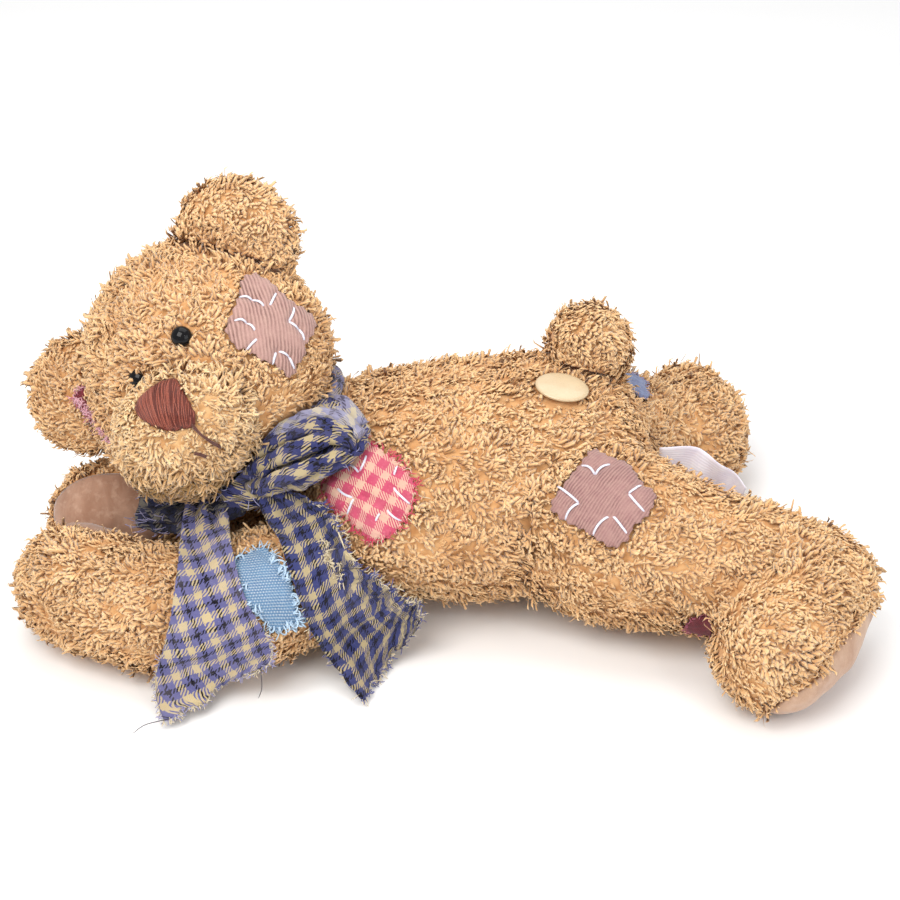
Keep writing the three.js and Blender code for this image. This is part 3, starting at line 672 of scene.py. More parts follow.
LEFT_PAW_PAD = {"at": [-132, -46, 38], "out": [-0.1, 0.84, 0.53], "oval": [21, 15]}
RIGHT_PAW_PAD = {"at": [-132.5, -35.7, 38], "out": [0.05, -0.848, 0.527], "oval": [23, 15.5]}
LEFT_SOLE = {"at": [128.5, -89, 26.5], "out": [0.52, -0.38, -0.765], "along": [-0.48, -0.87, -0.11], "oval": [34, 20]}
RIGHT_SOLE = {"at": [102, 54, 24], "out": [0.6, 0.8, 0], "along": [-0.8, 0.6, 0], "oval": [26, 17]}
BADGE = {"at": [42.8, -19.5, 85.3], "out": [0.093, -0.157, 0.983], "turn": -0.2}


# ------------------------------------------------------------------ cloth materials
def bands(m, t, edges, colours):
    """A colour by a repeat's fraction, with sharp bands."""
    stops = []
    for e, c in zip(edges, colours):
        stops.append((e, c))
    return m.ramp(t, stops, "CONSTANT")


def woven(name, period, edges, colours, hatch_mm, uv_mm, angle=0.0, fade=0.25, wash=(200, 190, 210), wash_amount=0.35, rough=0.9, deepen=0.1):
    """A woven check: warp and weft by the same bands, crossing in a diagonal twill."""
    m = Mat(name, roughness=rough, specular=0.06)
    m.bsdf.inputs["Sheen Weight"].default_value = 0.1
    uv = m.scaled(m.uv(), (uv_mm, uv_mm, 1.0), (0, 0, angle))
    wob = m.noise(uv, 0.09, 2.0)
    wob2 = m.noise(m.scaled(uv, (1, 1, 1), location=(31.0, 17.0, 0)), 0.09, 2.0)
    x, y, _ = m.split(uv)
    x = m.math("ADD", x, m.math("MULTIPLY", m.math("SUBTRACT", wob, 0.5), period * 0.35))
    y = m.math("ADD", y, m.math("MULTIPLY", m.math("SUBTRACT", wob2, 0.5), period * 0.35))
    warp = bands(m, m.math("FRACT", m.math("DIVIDE", x, period)), edges, colours)
    weft = bands(m, m.math("FRACT", m.math("DIVIDE", y, period)), edges, colours)
    d = m.math("SINE", m.math("MULTIPLY", m.math("ADD", x, y), 2 * math.pi / hatch_mm))
    grain = m.noise(uv, 1.6, 2.0, 0.6)
    d = m.math("ADD", d, m.math("MULTIPLY", m.math("SUBTRACT", grain, 0.5), 2.0))
    cross = m.level(d, -0.2, 0.2)
    cloth = m.mix(cross, warp, weft)
    cloth = m.mix(deepen, cloth, m.mix(1.0, warp, weft, "DARKEN"))
    thread = m.math("MULTIPLY", m.math("SINE", m.math("MULTIPLY", x, 2 * math.pi / 0.62)), m.math("SINE", m.math("MULTIPLY", y, 2 * math.pi / 0.62)))
    cloth = m.mix(m.level(thread, -1.0, 1.0, 0.0, 0.22), cloth, m.mix(0.7, cloth, (0.02, 0.02, 0.035, 1)))
    worn = m.level(m.noise(uv, 0.055, 4.0, 0.6), 0.42, 0.75, 0.0, fade)
    cloth = m.mix(worn, cloth, srgb(*wash))
    fluff = m.level(m.noise(uv, 0.9, 3.0, 0.7), 0.55, 0.8, 0.0, wash_amount)
    cloth = m.mix(fluff, cloth, srgb(*wash))
    m.colour(cloth)
    m.bump(m.math("ADD", m.math("MULTIPLY", thread, 0.5), m.math("MULTIPLY", m.noise(uv, 0.8, 4.0, 0.75), 2.2)), 0.85, 0.0004)
    return m.mat


CREAM, INK = srgb(226, 204, 156), srgb(18, 15, 26)
EDGES = [0.0, 0.32, 0.54, 0.71]
# The check comes in lit and shaded copies. scarf_pale, for the left tail, is a lighter copy, partly faded cloth and
# partly painted light. scarf_shade is a darker copy of painted shade, for the fold under the chin and the far band
# round the neck. scarf_hem is a paler copy for the rolled rim: faded cloth with a painted highlight.
SCARF_PALE = woven("scarf_pale", 9.6, EDGES, [CREAM, srgb(112, 111, 166), INK, srgb(112, 111, 166)], 1.5, 100.0, 0.27, 0.2)
SCARF_DEEP = woven("scarf_deep", 9.6, EDGES, [srgb(212, 192, 146), srgb(66, 72, 128), INK, srgb(66, 72, 128)], 1.5, 100.0, 0.0, 0.16, (150, 146, 180), 0.3)
SCARF_LOOP = woven("scarf_loop", 9.6, EDGES, [srgb(214, 194, 146), srgb(62, 66, 120), INK, srgb(62, 66, 120)], 1.7, 100.0, 0.5, 0.22, (150, 146, 176), 0.26)
SCARF_DARK = woven("scarf_shade", 9.6, EDGES, [srgb(126, 120, 108), srgb(34, 38, 72), srgb(12, 10, 18), srgb(34, 38, 72)], 1.6, 100.0, 0.35, 0.2, (104, 102, 124))
SCARF_HEM = woven("scarf_hem", 9.6, EDGES, [srgb(222, 208, 176), srgb(158, 156, 190), srgb(86, 80, 104), srgb(158, 156, 190)], 1.2, 100.0, 0.8, 0.55, (206, 202, 220), 0.5, deepen=0.2)
SCARF_NECK = woven("scarf_neck", 9.6, EDGES, [CREAM, srgb(120, 120, 168), INK, srgb(120, 120, 168)], 1.2, 100.0, 0.4, 0.5, (208, 202, 220), 0.45, deepen=0.25)
GINGHAM = woven("red_gingham", 6.7, [0.0, 0.42], [srgb(248, 204, 178), srgb(224, 86, 120)], 1.1, 100.0, 0.5, 0.3, (238, 156, 164), 0.6, deepen=0.0)


def corduroy_material(name, angle, period, light, dark, where=None):
    m = Mat(name, roughness=0.75, specular=0.25)
    m.bsdf.inputs["Sheen Weight"].default_value = 0.25
    uv = m.scaled(m.uv(), (100.0, 100.0, 1.0), (0, 0, angle))
    x, y, _ = m.split(uv)
    wob = m.noise(uv, 0.12, 2.0)
    x = m.math("ADD", x, m.math("MULTIPLY", m.math("SUBTRACT", wob, 0.5), 1.6))
    rib = m.math("SINE", m.math("MULTIPLY", x, 2 * math.pi / period))
    worn = m.level(m.noise(uv, 0.1, 3.0), 0.36, 0.62)
    amount = m.math("MULTIPLY", m.level(rib, -0.7, 0.5, 1.0, 0.0), m.level(worn, 0, 1, 0.25, 0.9))
    cloth = m.mix(amount, light, dark)
    cloth = m.mix(m.level(m.noise(uv, 0.35, 3.0, 0.7), 0.35, 0.75, 0.0, 0.3), cloth, srgb(205, 172, 156))
    cloth = m.mix(m.level(m.noise(uv, 2.4, 2.0), 0.4, 0.7, 0.0, 0.22), cloth, srgb(120, 86, 78))
    m.colour(cloth)
    m.bump(m.math("MULTIPLY", rib, amount), 0.6, 0.0003)
    return m.mat


CORD_HEAD = corduroy_material("corduroy_head", math.radians(-12), 1.35, srgb(180, 142, 134), srgb(116, 82, 76))
CORD_HIP = corduroy_material("corduroy_hip", math.radians(38), 1.1, srgb(164, 124, 120), srgb(126, 90, 88))


def denim_material():
    m = Mat("denim", roughness=0.85, specular=0.15)
    uv = m.scaled(m.uv(), (100.0, 100.0, 1.0), (0, 0, 0.3))
    x, y, _ = m.split(uv)
    a = m.math("SINE", m.math("MULTIPLY", m.math("ADD", m.math("MULTIPLY", x, 0.6), y), 2 * math.pi / 1.05))
    b = m.math("SINE", m.math("MULTIPLY", x, 2 * math.pi / 1.0))
    dot = m.math("MULTIPLY", a, b)
    cloth = m.mix(m.level(dot, -0.15, 0.45), srgb(84, 122, 158), srgb(184, 194, 202))
    cloth = m.mix(m.level(m.math("MULTIPLY", a, m.noise(uv, 1.4, 2.0)), 0.2, 0.55, 0.0, 0.7), cloth, srgb(50, 88, 138))
    cloth = m.mix(m.level(m.noise(uv, 0.14, 3.0), 0.4, 0.7, 0.0, 0.4), cloth, srgb(112, 152, 184))
    m.colour(cloth)
    m.bump(dot, 0.5, 0.0002)
    return m.mat


def suede_material(name, light, dark, low=(0.3, 0.7)):
    m = Mat(name, roughness=0.9, specular=0.15)
    m.bsdf.inputs["Sheen Weight"].default_value = 0.35
    m.bsdf.inputs["Sheen Roughness"].default_value = 0.4
    uv = m.scaled(m.uv(), (100.0, 100.0, 1.0))
    big = m.noise(m.scaled(uv, (1.0, 0.55, 1.0), (0, 0, 0.6)), 0.1, 4.0, 0.6, 0.6)
    cloth = m.mix(m.level(big, *low), light, dark)
    cloth = m.mix(m.level(m.noise(uv, 1.8, 3.0, 0.7), 0.35, 0.75, 0.0, 0.3), cloth, srgb(150, 112, 96))
    cloth = m.mix(m.level(m.noise(m.scaled(uv, (1, 1, 1), location=(9, 40, 0)), 0.25, 3.0, 0.7), 0.5, 0.75, 0.0, 0.35), cloth, srgb(216, 186, 164))
    m.colour(cloth)
    m.bump(m.noise(uv, 2.2, 3.0, 0.7), 0.35, 0.0002)
    return m.mat


DENIM = denim_material()
SUEDE = suede_material("suede", srgb(182, 146, 124), srgb(146, 108, 86))
SUEDE_SOLE = suede_material("suede_sole", srgb(204, 172, 146), srgb(176, 138, 112))


def soft_cloth(name, base, other, pale, scale=0.5):
    m = Mat(name, roughness=0.9, specular=0.12)
    m.bsdf.inputs["Sheen Weight"].default_value = 0.2
    uv = m.scaled(m.uv(), (100.0, 100.0, 1.0))
    x, y, _ = m.split(uv)
    t = m.math("MULTIPLY", m.math("SINE", m.math("MULTIPLY", x, 2 * math.pi / 0.9)), m.math("SINE", m.math("MULTIPLY", y, 2 * math.pi / 0.9)))
    cloth = m.mix(m.level(m.noise(uv, scale, 3.0), 0.35, 0.7), base, other)
    cloth = m.mix(m.level(t, -1, 1, 0.0, 0.35), cloth, pale)
    m.colour(cloth)
    m.bump(t, 0.4, 0.0002)
    return m.mat


MAROON = soft_cloth("maroon_cloth", srgb(112, 36, 46), srgb(78, 24, 32), srgb(150, 84, 92))
BLUE_CLOTH = soft_cloth("blue_cloth", srgb(118, 132, 168), srgb(88, 98, 140), srgb(190, 192, 206))


def thread_material(name, base, other, rough=0.55, sheen=0.3, fine=3.0):
    """Yarn: colour along and round a strand."""
    m = Mat(name, roughness=rough, specular=0.35)
    m.bsdf.inputs["Sheen Weight"].default_value = sheen
    x, y, _ = m.split(m.uv())
    n = m.noise(m.joined(m.math("MULTIPLY", x, 6.0), m.math("MULTIPLY", y, 0.8)), fine, 3.0, 0.6, dims="2D")
    twist = m.math("SINE", m.math("ADD", m.math("MULTIPLY", x, 12.566), m.math("MULTIPLY", y, 9.0)))
    cloth = m.mix(m.level(n, 0.4, 0.62), base, other)
    cloth = m.mix(m.level(twist, -1, 1, 0.0, 0.25), cloth, m.mix(0.5, cloth, (0.02, 0.01, 0.01, 1)))
    m.colour(cloth)
    return m.mat


WHITE_THREAD = thread_material("white_thread", srgb(238, 238, 248), srgb(206, 208, 226))
NOSE_THREAD = thread_material("nose_thread", srgb(122, 52, 38), srgb(66, 26, 18), 0.42, 0.08, 10.0)
# A lighter copy of the nose thread: painted satin highlight on some threads.
NOSE_SHEEN_THREAD = thread_material("nose_thread_light", srgb(184, 102, 80), srgb(96, 40, 28), 0.4, 0.08, 10.0)
MOUTH_THREAD = thread_material("mouth_thread", srgb(100, 50, 34), srgb(70, 32, 24))
CREAM_THREAD = thread_material("cream_thread", srgb(232, 218, 184), srgb(206, 190, 160))
LAVENDER_THREAD = thread_material("lavender_thread", srgb(176, 172, 204), srgb(120, 118, 170))
BLUE_THREAD = thread_material("blue_thread", srgb(64, 72, 136), srgb(96, 100, 160))
DARK_THREAD = thread_material("dark_thread", srgb(40, 34, 46), srgb(70, 62, 76))
RED_THREAD = thread_material("red_thread", srgb(222, 60, 100), srgb(190, 40, 76))
SKY_THREAD = thread_material("sky_thread", srgb(150, 190, 222), srgb(220, 232, 242))
PINK_THREAD = thread_material("pink_thread", srgb(232, 196, 204), srgb(208, 130, 150))
MAROON_THREAD = thread_material("maroon_thread", srgb(140, 50, 70), srgb(214, 120, 150))


def glossy(name, base, other, rough, coat=0.0, scale=60.0):
    m = Mat(name, roughness=rough, specular=0.5)
    m.bsdf.inputs["Coat Weight"].default_value = coat
    m.bsdf.inputs["Coat Roughness"].default_value = 0.06
    n = m.noise(m.coords(), scale, 4.0, 0.6)
    m.colour(m.mix(m.level(n, 0.35, 0.7), base, other))
    m.put(m.bsdf.inputs["Roughness"], m.level(n, 0.3, 0.75, rough * 0.7, rough * 1.6))
    return m.mat


EYE_BLACK = glossy("eye_black", (0.004, 0.004, 0.005, 1), (0.007, 0.006, 0.007, 1), 0.05, 0.0, 220.0)
EYE_BLACK.node_tree.nodes["Principled BSDF"].inputs["Specular IOR Level"].default_value = 0.22
WASHER_WHITE = glossy("washer_plastic", srgb(226, 222, 212), srgb(206, 200, 188), 0.4)
BADGE_CREAM = glossy("badge_gloss", srgb(208, 186, 152), srgb(196, 172, 136), 0.28, 0.3, 90.0)


def satin_material():
    m = Mat("label_satin", roughness=0.35, specular=0.5)
    m.bsdf.inputs["Sheen Weight"].default_value = 0.1
    uv = m.scaled(m.uv(), (100.0, 100.0, 1.0))
    x, y, _ = m.split(uv)
    t = m.math("SINE", m.math("MULTIPLY", y, 2 * math.pi / 0.8))
    cloth = m.mix(m.level(m.noise(uv, 0.12, 3.0), 0.35, 0.7), srgb(240, 240, 248), srgb(222, 216, 236))
    cloth = m.mix(m.level(t, -1, 1, 0.0, 0.18), cloth, srgb(206, 200, 222))
    m.colour(cloth)
    m.bump(t, 0.3, 0.0001)
    return m.mat


SATIN = satin_material()
OBSTACLES = []


# ------------------------------------------------------------------ surfaces that follow the solids
def solid_tree(names):
    T = np.concatenate([node_triangles(n) for n in names])
    V = T.reshape(-1, 3)
    return BVHTree.FromPolygons([tuple(v) for v in V.tolist()], [(3 * i, 3 * i + 1, 3 * i + 2) for i in range(len(T))])


def fitted(name, field, piece):
    """The field, moved by a smooth amount so that it agrees with the solid's own faces round a sewn piece."""
    at, x, y, n = frame_of(piece)
    tree = solid_tree([name])
    lim = max(piece["oval"]) if "oval" in piece else np.abs(np.array(piece["outline"])).max()
    g = np.linspace(-lim, lim, 13)
    gx, gy = (v.ravel() for v in np.meshgrid(g, g))
    base = at + gx[:, None] * x + gy[:, None] * y
    s = ray_to(field, base, np.broadcast_to(n, base.shape), 0.0, far=26.0)
    A, b = [], []
    for i in range(len(base)):
        o = base[i] + n * 30
        hit = tree.ray_cast(Vector(o.tolist()), Vector((-n).tolist()))
        if hit[0] is None:
            continue
        d = float((np.array(hit[0][:]) - s[i]) @ n)
        if abs(d) < 5:
            A.append([1, gx[i], gy[i], gx[i] ** 2, gx[i] * gy[i], gy[i] ** 2])
            b.append(d)
    if len(A) < 12:
        return field
    k, *_ = np.linalg.lstsq(np.array(A), np.array(b), rcond=None)

    def f(p):
        q = p - at
        u, v = q @ x, q @ y
        return field(p) - np.clip(k[0] + k[1] * u + k[2] * v + k[3] * u * u + k[4] * u * v + k[5] * v * v, -5, 5)

    return f


def ruffle(seed, level, edge_level, amp, wave, creases=()):
    w1, w2 = waves(seed, wave, dims=2), waves(seed + 1, wave * 0.4, dims=2)

    def h(x, y, e):
        p = np.stack([x, y], -1)
        base = edge_level + (level - edge_level) * np.clip(e / 3.0, 0, 1) ** 0.6
        out = base + amp * w1(p) * 0.6 + amp * 0.3 * w2(p)
        for (ax, ay), (bx, by), depth, width in creases:
            a, b = np.array([ax, ay]), np.array([bx, by])
            d = b - a
            t = np.clip(((p - a) @ d) / (d @ d), 0, 1)
            r = np.linalg.norm(p - a - t[:, None] * d, axis=1)
            out = out - depth * np.exp(-(r / width) ** 2)
        return np.maximum(out - 0.7, 0.15)

    return h


def stitch_creases(lines, depth=0.75, width=1.3):
    out = []
    for line in lines:
        for a, b in zip(line[:-1], line[1:]):
            out.append((a, b, depth, width))
    return out


HEAD_STITCH = [[[-10.0, 11.4], [-5.6, 10.6], [-1.6, 8.1]], [[0.6, 8.8], [3.4, 14.7]], [[7.9, 3.9], [9.8, 9.9]], [[7.9, 3.9], [12.2, 1.8], [14.6, -1.8]], [[4.9, -7.9], [9.2, -9.0], [11.9, -12.4]], [[3.8, -8.4], [3.4, -12.6]], [[-11.8, 1.4], [-7.6, 0.9], [-4.7, -1.8]], [[-3.7, -4.7], [-7.0, -9.2]]]
HIP_STITCH = [[[-8.7, 16.0], [-3.6, 11.3], [2.0, 15.6]], [[13.1, 6.6], [8.2, 2.8], [13.7, -4.2]], [[1.0, -5.7], [-5.2, -11.5]], [[2.4, -5.7], [7.2, -11.9]], [[-17.5, 7.6], [-9.8, 0.2], [-15.2, -5.0]]]
SHOULDER_STITCH = [[[-9.9, 11.2], [-5.3, 7.7]], [[-2.7, 14.0], [-4.9, 8.1]], [[8.7, 9.7], [7.8, 6.1]], [[7.6, 1.5], [13.6, -4.7]], [[-13.2, 2.2], [-6.9, -1.9]], [[-6.5, -2.3], [-9.5, -7.9]], [[2.9, -8.1], [1.3, -10.7]], [[5.4, -6.7], [10.3, -10.7]]]


def threads(name, lines, radius, material, sides=4):
    pile = Pile()
    for k, line in enumerate(lines):
        L = spline(line, max(6, 3 * (len(line) - 1)))
        r = radius[k] if hasattr(radius, "__len__") else radius
        L[:, 2] = np.maximum(L[:, 2], r + 0.3)
        taper = np.full(len(L), r)
        taper[-1] *= 0.55
        pile.add(*tube(L, taper, sides))
    obj = pile.mesh(name)
    return dress(obj, material)


def fray(points, outward, rng, count, length, lie, droop=0.0):
    """Random threads leaving an edge: their lines."""
    out = []
    m = len(points)
    for _ in range(count):
        i = rng.integers(0, m)
        o = unit(outward[i] + rng.normal(0, 0.45, 3))
        L = rng.uniform(*length)
        side = unit(np.cross(o, lie[i])) * rng.normal(0, 0.5)
        p0 = points[i] - o * 0.6
        p1 = p0 + o * L * 0.45 + side * L * 0.25 + lie[i] * rng.uniform(-0.1, 0.25) * L
        p2 = p1 + unit(o + side * 1.6 + rng.normal(0, 0.3, 3)) * L * 0.5 + np.array([0, 0, -droop * L])
        out.append([p0, p1, p2])
    return out


# ------------------------------------------------------------------ patches
def patch(name, host, field, piece, material, slot, height, thick=0.7, step=0.8, pink=(0.9, 0.35, 2.6), seed=1, **more):
    f = fitted(host, field, piece)
    obj, info = sewn_cloth(name + "_cloth", piece, f, height, thick, step, pink, seed, **more)
    dress(obj, material)
    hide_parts(name)
    OBSTACLES.append(obj)
    return obj, info


def declare_patch(obj, info):
    span = info["flat"].max(0) - info["flat"].min(0)
    e = info["edge"]
    area = 0.5 * abs(np.sum(e[:, 0] * np.roll(e[:, 1], -1) - np.roll(e[:, 0], -1) * e[:, 1]))
    me = obj.data
    real = sum(p.area for p in me.polygons) / 2
    w, l = sorted(float(v) / 1000 for v in span)
    k = max(1.0, math.sqrt(real / (0.97 * w * l)))
    w, l = max(w * k, 0.0102), max(l * k, 0.0102)
    print(f"sheet {obj.name}: {w * 1000:.1f} x {l * 1000:.1f} mm, cut area {real * 1e6:.0f} mm2")


def rim_of(info, n=160, lift=0.0, inset=0.2):
    edge, _ = resample(info["edge"], 0.8)
    P = on_cloth(info, edge * (1 - inset / 20), lift)
    c = P.mean(0)
    up = gradient(info["field"], P)
    nxt = np.roll(P, -1, 0) - np.roll(P, 1, 0)
    out = unit(np.cross(nxt, up))
    flip = ((P - c) * out).sum(-1).mean() < 0
    return P, -out if flip else out, up


obj, info = patch("head_patch", "head", F_HEAD, HEAD_PATCH, CORD_HEAD, "corduroy",
                  ruffle(21, 2.3, 1.7, 0.25, 16, stitch_creases(HEAD_STITCH)), 0.8, 0.6, (0.6, 0.55, 4.2), 3)
st = dress(stitches("head_patch_stitches", info, HEAD_STITCH, 0.38), WHITE_THREAD)
declare_patch(obj, info)

obj, info = patch("hip_patch", "left_leg", F_LEFT_LEG, HIP_PATCH, CORD_HIP, "corduroy",
                  ruffle(23, 2.3, 1.7, 0.3, 18, stitch_creases(HIP_STITCH) + [([-10, 3], [-4, 5], 0.7, 1.5)]), 0.8, 0.6, (0.6, 0.5, 4.0), 4)
st = dress(stitches("hip_patch_stitches", info, HIP_STITCH, 0.38), WHITE_THREAD)
declare_patch(obj, info)

CREASE = [([-4.5, -0.5], [11.4, -9.6], 1.0, 1.2), ([-14, 6], [2, 9], 0.5, 1.6), ([-9, -4], [0, -13], 0.5, 1.4)]
obj, info = patch("shoulder_patch", "torso", F_TORSO, SHOULDER_PATCH, GINGHAM, "gingham",
                  ruffle(25, 2.4, 1.7, 0.4, 12, stitch_creases(SHOULDER_STITCH) + CREASE), 0.8, 0.7, (0.6, 0.9, 2.7), 5)
rng = np.random.default_rng(51)
P, O, U = rim_of(info)
st = dress(stitches("shoulder_patch_stitches", info, SHOULDER_STITCH, 0.36), WHITE_THREAD)
fr = threads("shoulder_patch_fray", fray(P, O, rng, 150, (1.5, 4.2), U), 0.17, RED_THREAD)
fr2 = threads("shoulder_patch_loose", fray(P[(U[:, 0] > -0.3)], O[(U[:, 0] > -0.3)], rng, 14, (4.0, 8.0), U[(U[:, 0] > -0.3)]), 0.16, CREAM_THREAD)
declare_patch(obj, info)
OBSTACLES += [fr]

obj, info = patch("arm_patch", "left_arm", F_LEFT_ARM, ARM_PATCH, DENIM, "denim",
                  ruffle(27, 2.2, 1.6, 0.35, 14, [([-2, 13], [6, 3], 0.6, 1.0)]), 0.9, 0.75, (0.7, 0.55, 1.9), 6)
P, O, U = rim_of(info)
fr = threads("arm_patch_fray", fray(P, O, rng, 130, (1.6, 4.5), U), 0.2, SKY_THREAD)
top = (O[:, 2] > 0.25) & (O[:, 0] > -0.2)
low = O[:, 2] < -0.3
loops = []
for mask, count in ((top, 26), (low, 26)):
    Q, OO, UU = P[mask], O[mask], U[mask]
    for _ in range(count if len(Q) else 0):
        i = rng.integers(0, len(Q))
        o, up = OO[i], UU[i]
        side = np.cross(o, up) * rng.uniform(-1, 1)
        a = Q[i] - o * rng.uniform(0, 3)
        r = rng.uniform(1.0, 2.2)
        loops.append([a, a + up * r * 0.9 + o * r * 0.6 + side * r * 0.4, a + up * r * 0.7 + o * r * 1.3 + side * r * 1.4, a + o * r * 0.9 + side * r * 1.9, a - o * 0.2 + side * r * 1.3])
fr2 = threads("arm_patch_loops", loops, 0.33, SKY_THREAD, 5)
declare_patch(obj, info)
OBSTACLES += [fr2]

obj, info = patch("ear_patch", "right_ear", F_RIGHT_EAR, EAR_PATCH, MAROON, "maroon_cloth",
                  ruffle(29, 1.9, 1.5, 0.25, 9), 0.7, 0.7, (0.6, 0.4, 1.6), 7)
P, O, U = rim_of(info)
fr = threads("ear_patch_fray", fray(P, O, rng, 110, (1.2, 3.6), U), 0.18, MAROON_THREAD)
fr2 = threads("ear_patch_loose", fray(P, O, rng, 70, (1.5, 3.6), U), 0.2, PINK_THREAD)
lip = spline([[-140.9, -30.0, 86.8], [-138.0, -32.8, 85.0], [-135.5, -35.0, 82.4], [-132.5, -38.5, 80.0], [-129.5, -42.0, 78.0], [-126.4, -45.4, 76.5]], 40)
lines = []
for _ in range(150):
    i = rng.integers(0, 40)
    a = lip[i] + rng.normal(0, 0.45, 3)
    d = unit(rng.normal(0, 1, 3) + np.array([-0.5, -0.3, -0.3]))
    r = rng.uniform(0.9, 2.4)
    lines.append([a - d * 0.4, a + d * r * 0.5 + rng.normal(0, 0.25, 3), a + d * r])
fr3 = threads("ear_patch_lip", lines, 0.2, PINK_THREAD)
declare_patch(obj, info)

obj, info = patch("right_leg_patch", "right_leg", F_RIGHT_LEG, RIGHT_LEG_PATCH, BLUE_CLOTH, "blue_cloth",
                  ruffle(31, 2.1, 1.5, 0.3, 9), 0.7, 0.8, (0.7, 0.5, 1.9), 8, keep=lambda p: F_TORSO(p) > 0.8)
P, O, U = rim_of(info)
fr = threads("right_leg_patch_fray", fray(P, O, rng, 50, (1.2, 3.2), U), 0.2, LAVENDER_THREAD)
declare_patch(obj, info)

obj, info = patch("left_leg_patch", "left_leg", F_LEFT_LEG, LEFT_LEG_PATCH, MAROON, "maroon_cloth",
                  ruffle(33, 1.9, 1.5, 0.2, 9), 0.7, 0.7, (0.6, 0.4, 1.6), 9, keep=lambda p: p[:, 2] > 2.2)
P, O, U = rim_of(info)
fr = threads("left_leg_patch_fray", fray(P, O, rng, 40, (1.2, 3.0), U), 0.18, MAROON_THREAD)
declare_patch(obj, info)


# ------------------------------------------------------------------ paw pads and soles
def pad(name, host, field, piece, material, seed, level=1.5, grow=0.0, keep=None):
    f = fitted(host, field, piece)
    obj, info = sewn_cloth(name + "_suede", piece, f, ruffle(seed, level, 0.9, 0.28, 17), 0.9, 1.0, None, seed, grow, keep)
    dress(obj, material)
    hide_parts(name)
    OBSTACLES.append(obj)
    declare_patch(obj, info)
    return obj


pad("left_paw_pad", "left_arm", F_LEFT_ARM, LEFT_PAW_PAD, SUEDE, 41, 1.0, keep=lambda p: (F_RIGHT_ARM(p) > 1.2) & (F_HEAD(p) > 0.5) & (F_TORSO(p) > 0.5))
pad("right_paw_pad", "right_arm", F_RIGHT_ARM, RIGHT_PAW_PAD, SUEDE, 43, 1.0, keep=lambda p: (F_LEFT_ARM(p) > 1.0) & (F_HEAD(p) > 0.8) & (F_MUZZLE(p) > 0.8) & (p[:, 2] > 2))
pad("left_sole", "left_leg", F_LEFT_FOOT, LEFT_SOLE, SUEDE_SOLE, 45, 1.4, keep=lambda p: p[:, 2] > 2.4)
pad("right_sole", "right_leg", F_RIGHT_FOOT, RIGHT_SOLE, SUEDE_SOLE, 47, 1.4, keep=lambda p: p[:, 2] > 2.4)


# ------------------------------------------------------------------ eyes
def eye_frame(sign):
    d = unit(LEFT * (sign * 12.6 + 1) + CROWN * 3.4 + FACE * 44.5)
    near, far = 0.0, 100.0
    for _ in range(40):
        mid = (near + far) / 2
        if F_HEAD(HEAD_AT + d * mid) > 0:
            far = mid
        else:
            near = mid
    z = d
    x = unit(CROWN - (CROWN @ z) * z)
    return HEAD_AT + d * near, x, np.cross(z, x), z


def lathe(profile, sides, frame_at, wobble=0.0):
    at, x, y, z = frame_at
    a = np.linspace(0, 2 * np.pi, sides, endpoint=False)
    P, F = [], []
    prof = [q for q in profile if q[0] > 1e-6]
    for r, h in prof:
        P.append(at + r * np.cos(a)[:, None] * x + r * np.sin(a)[:, None] * y + h * z)
    P = np.concatenate(P)
    n = len(prof)
    for i in range(n - 1):
        for j in range(sides):
            k = (j + 1) % sides
            p, q, r, s = i * sides + j, i * sides + k, (i + 1) * sides + k, (i + 1) * sides + j
            F += [(p, q, r), (p, r, s)]
    b, t = len(P), len(P) + 1
    P = np.concatenate([P, [at + profile[0][1] * z], [at + profile[-1][1] * z]])
    for j in range(sides):
        k = (j + 1) % sides
        F += [(k, j, b), ((n - 1) * sides + j, (n - 1) * sides + k, t)]
    U = np.concatenate([np.stack([np.tile(np.arange(sides) / sides, n), np.repeat(np.linspace(0.02, 0.98, n), sides)], -1), [[0.5, 0], [0.5, 1]]])
    return P, np.array(F), U


EYE_FRAMES = {}
for sign, name in ((1, "left_eye"), (-1, "right_eye")):
    fr_ = eye_frame(sign)
    if sign < 0:  # pulled deeper into the pile, by the muzzle
        fr_ = (fr_[0] - fr_[3] * 3.7 + LEFT * 0.6, *fr_[1:])
    else:
        fr_ = (fr_[0] - fr_[3] * 0.7, *fr_[1:])
    EYE_FRAMES[name] = fr_
    dome = [(3.9 * math.cos(t), 1.1 + 3.3 * math.sin(t)) for t in np.linspace(0, math.pi / 2, 14)[:-1]]
    profile = [(0, -9.0), (1.6, -9.0), (1.6, 0.25), (3.3, 0.3), (3.75, 0.55), *dome, (0, 4.4)]
    pile = Pile()
    pile.add(*lathe(profile, 36, fr_))
    e = dress(pile.mesh(name + "_bead"), EYE_BLACK)
    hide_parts(name)
for name in ("left_eye_washer", "right_eye_washer"):
    o = NODES[name]
    o.data.materials.clear()
    o.data.materials.append(WASHER_WHITE)


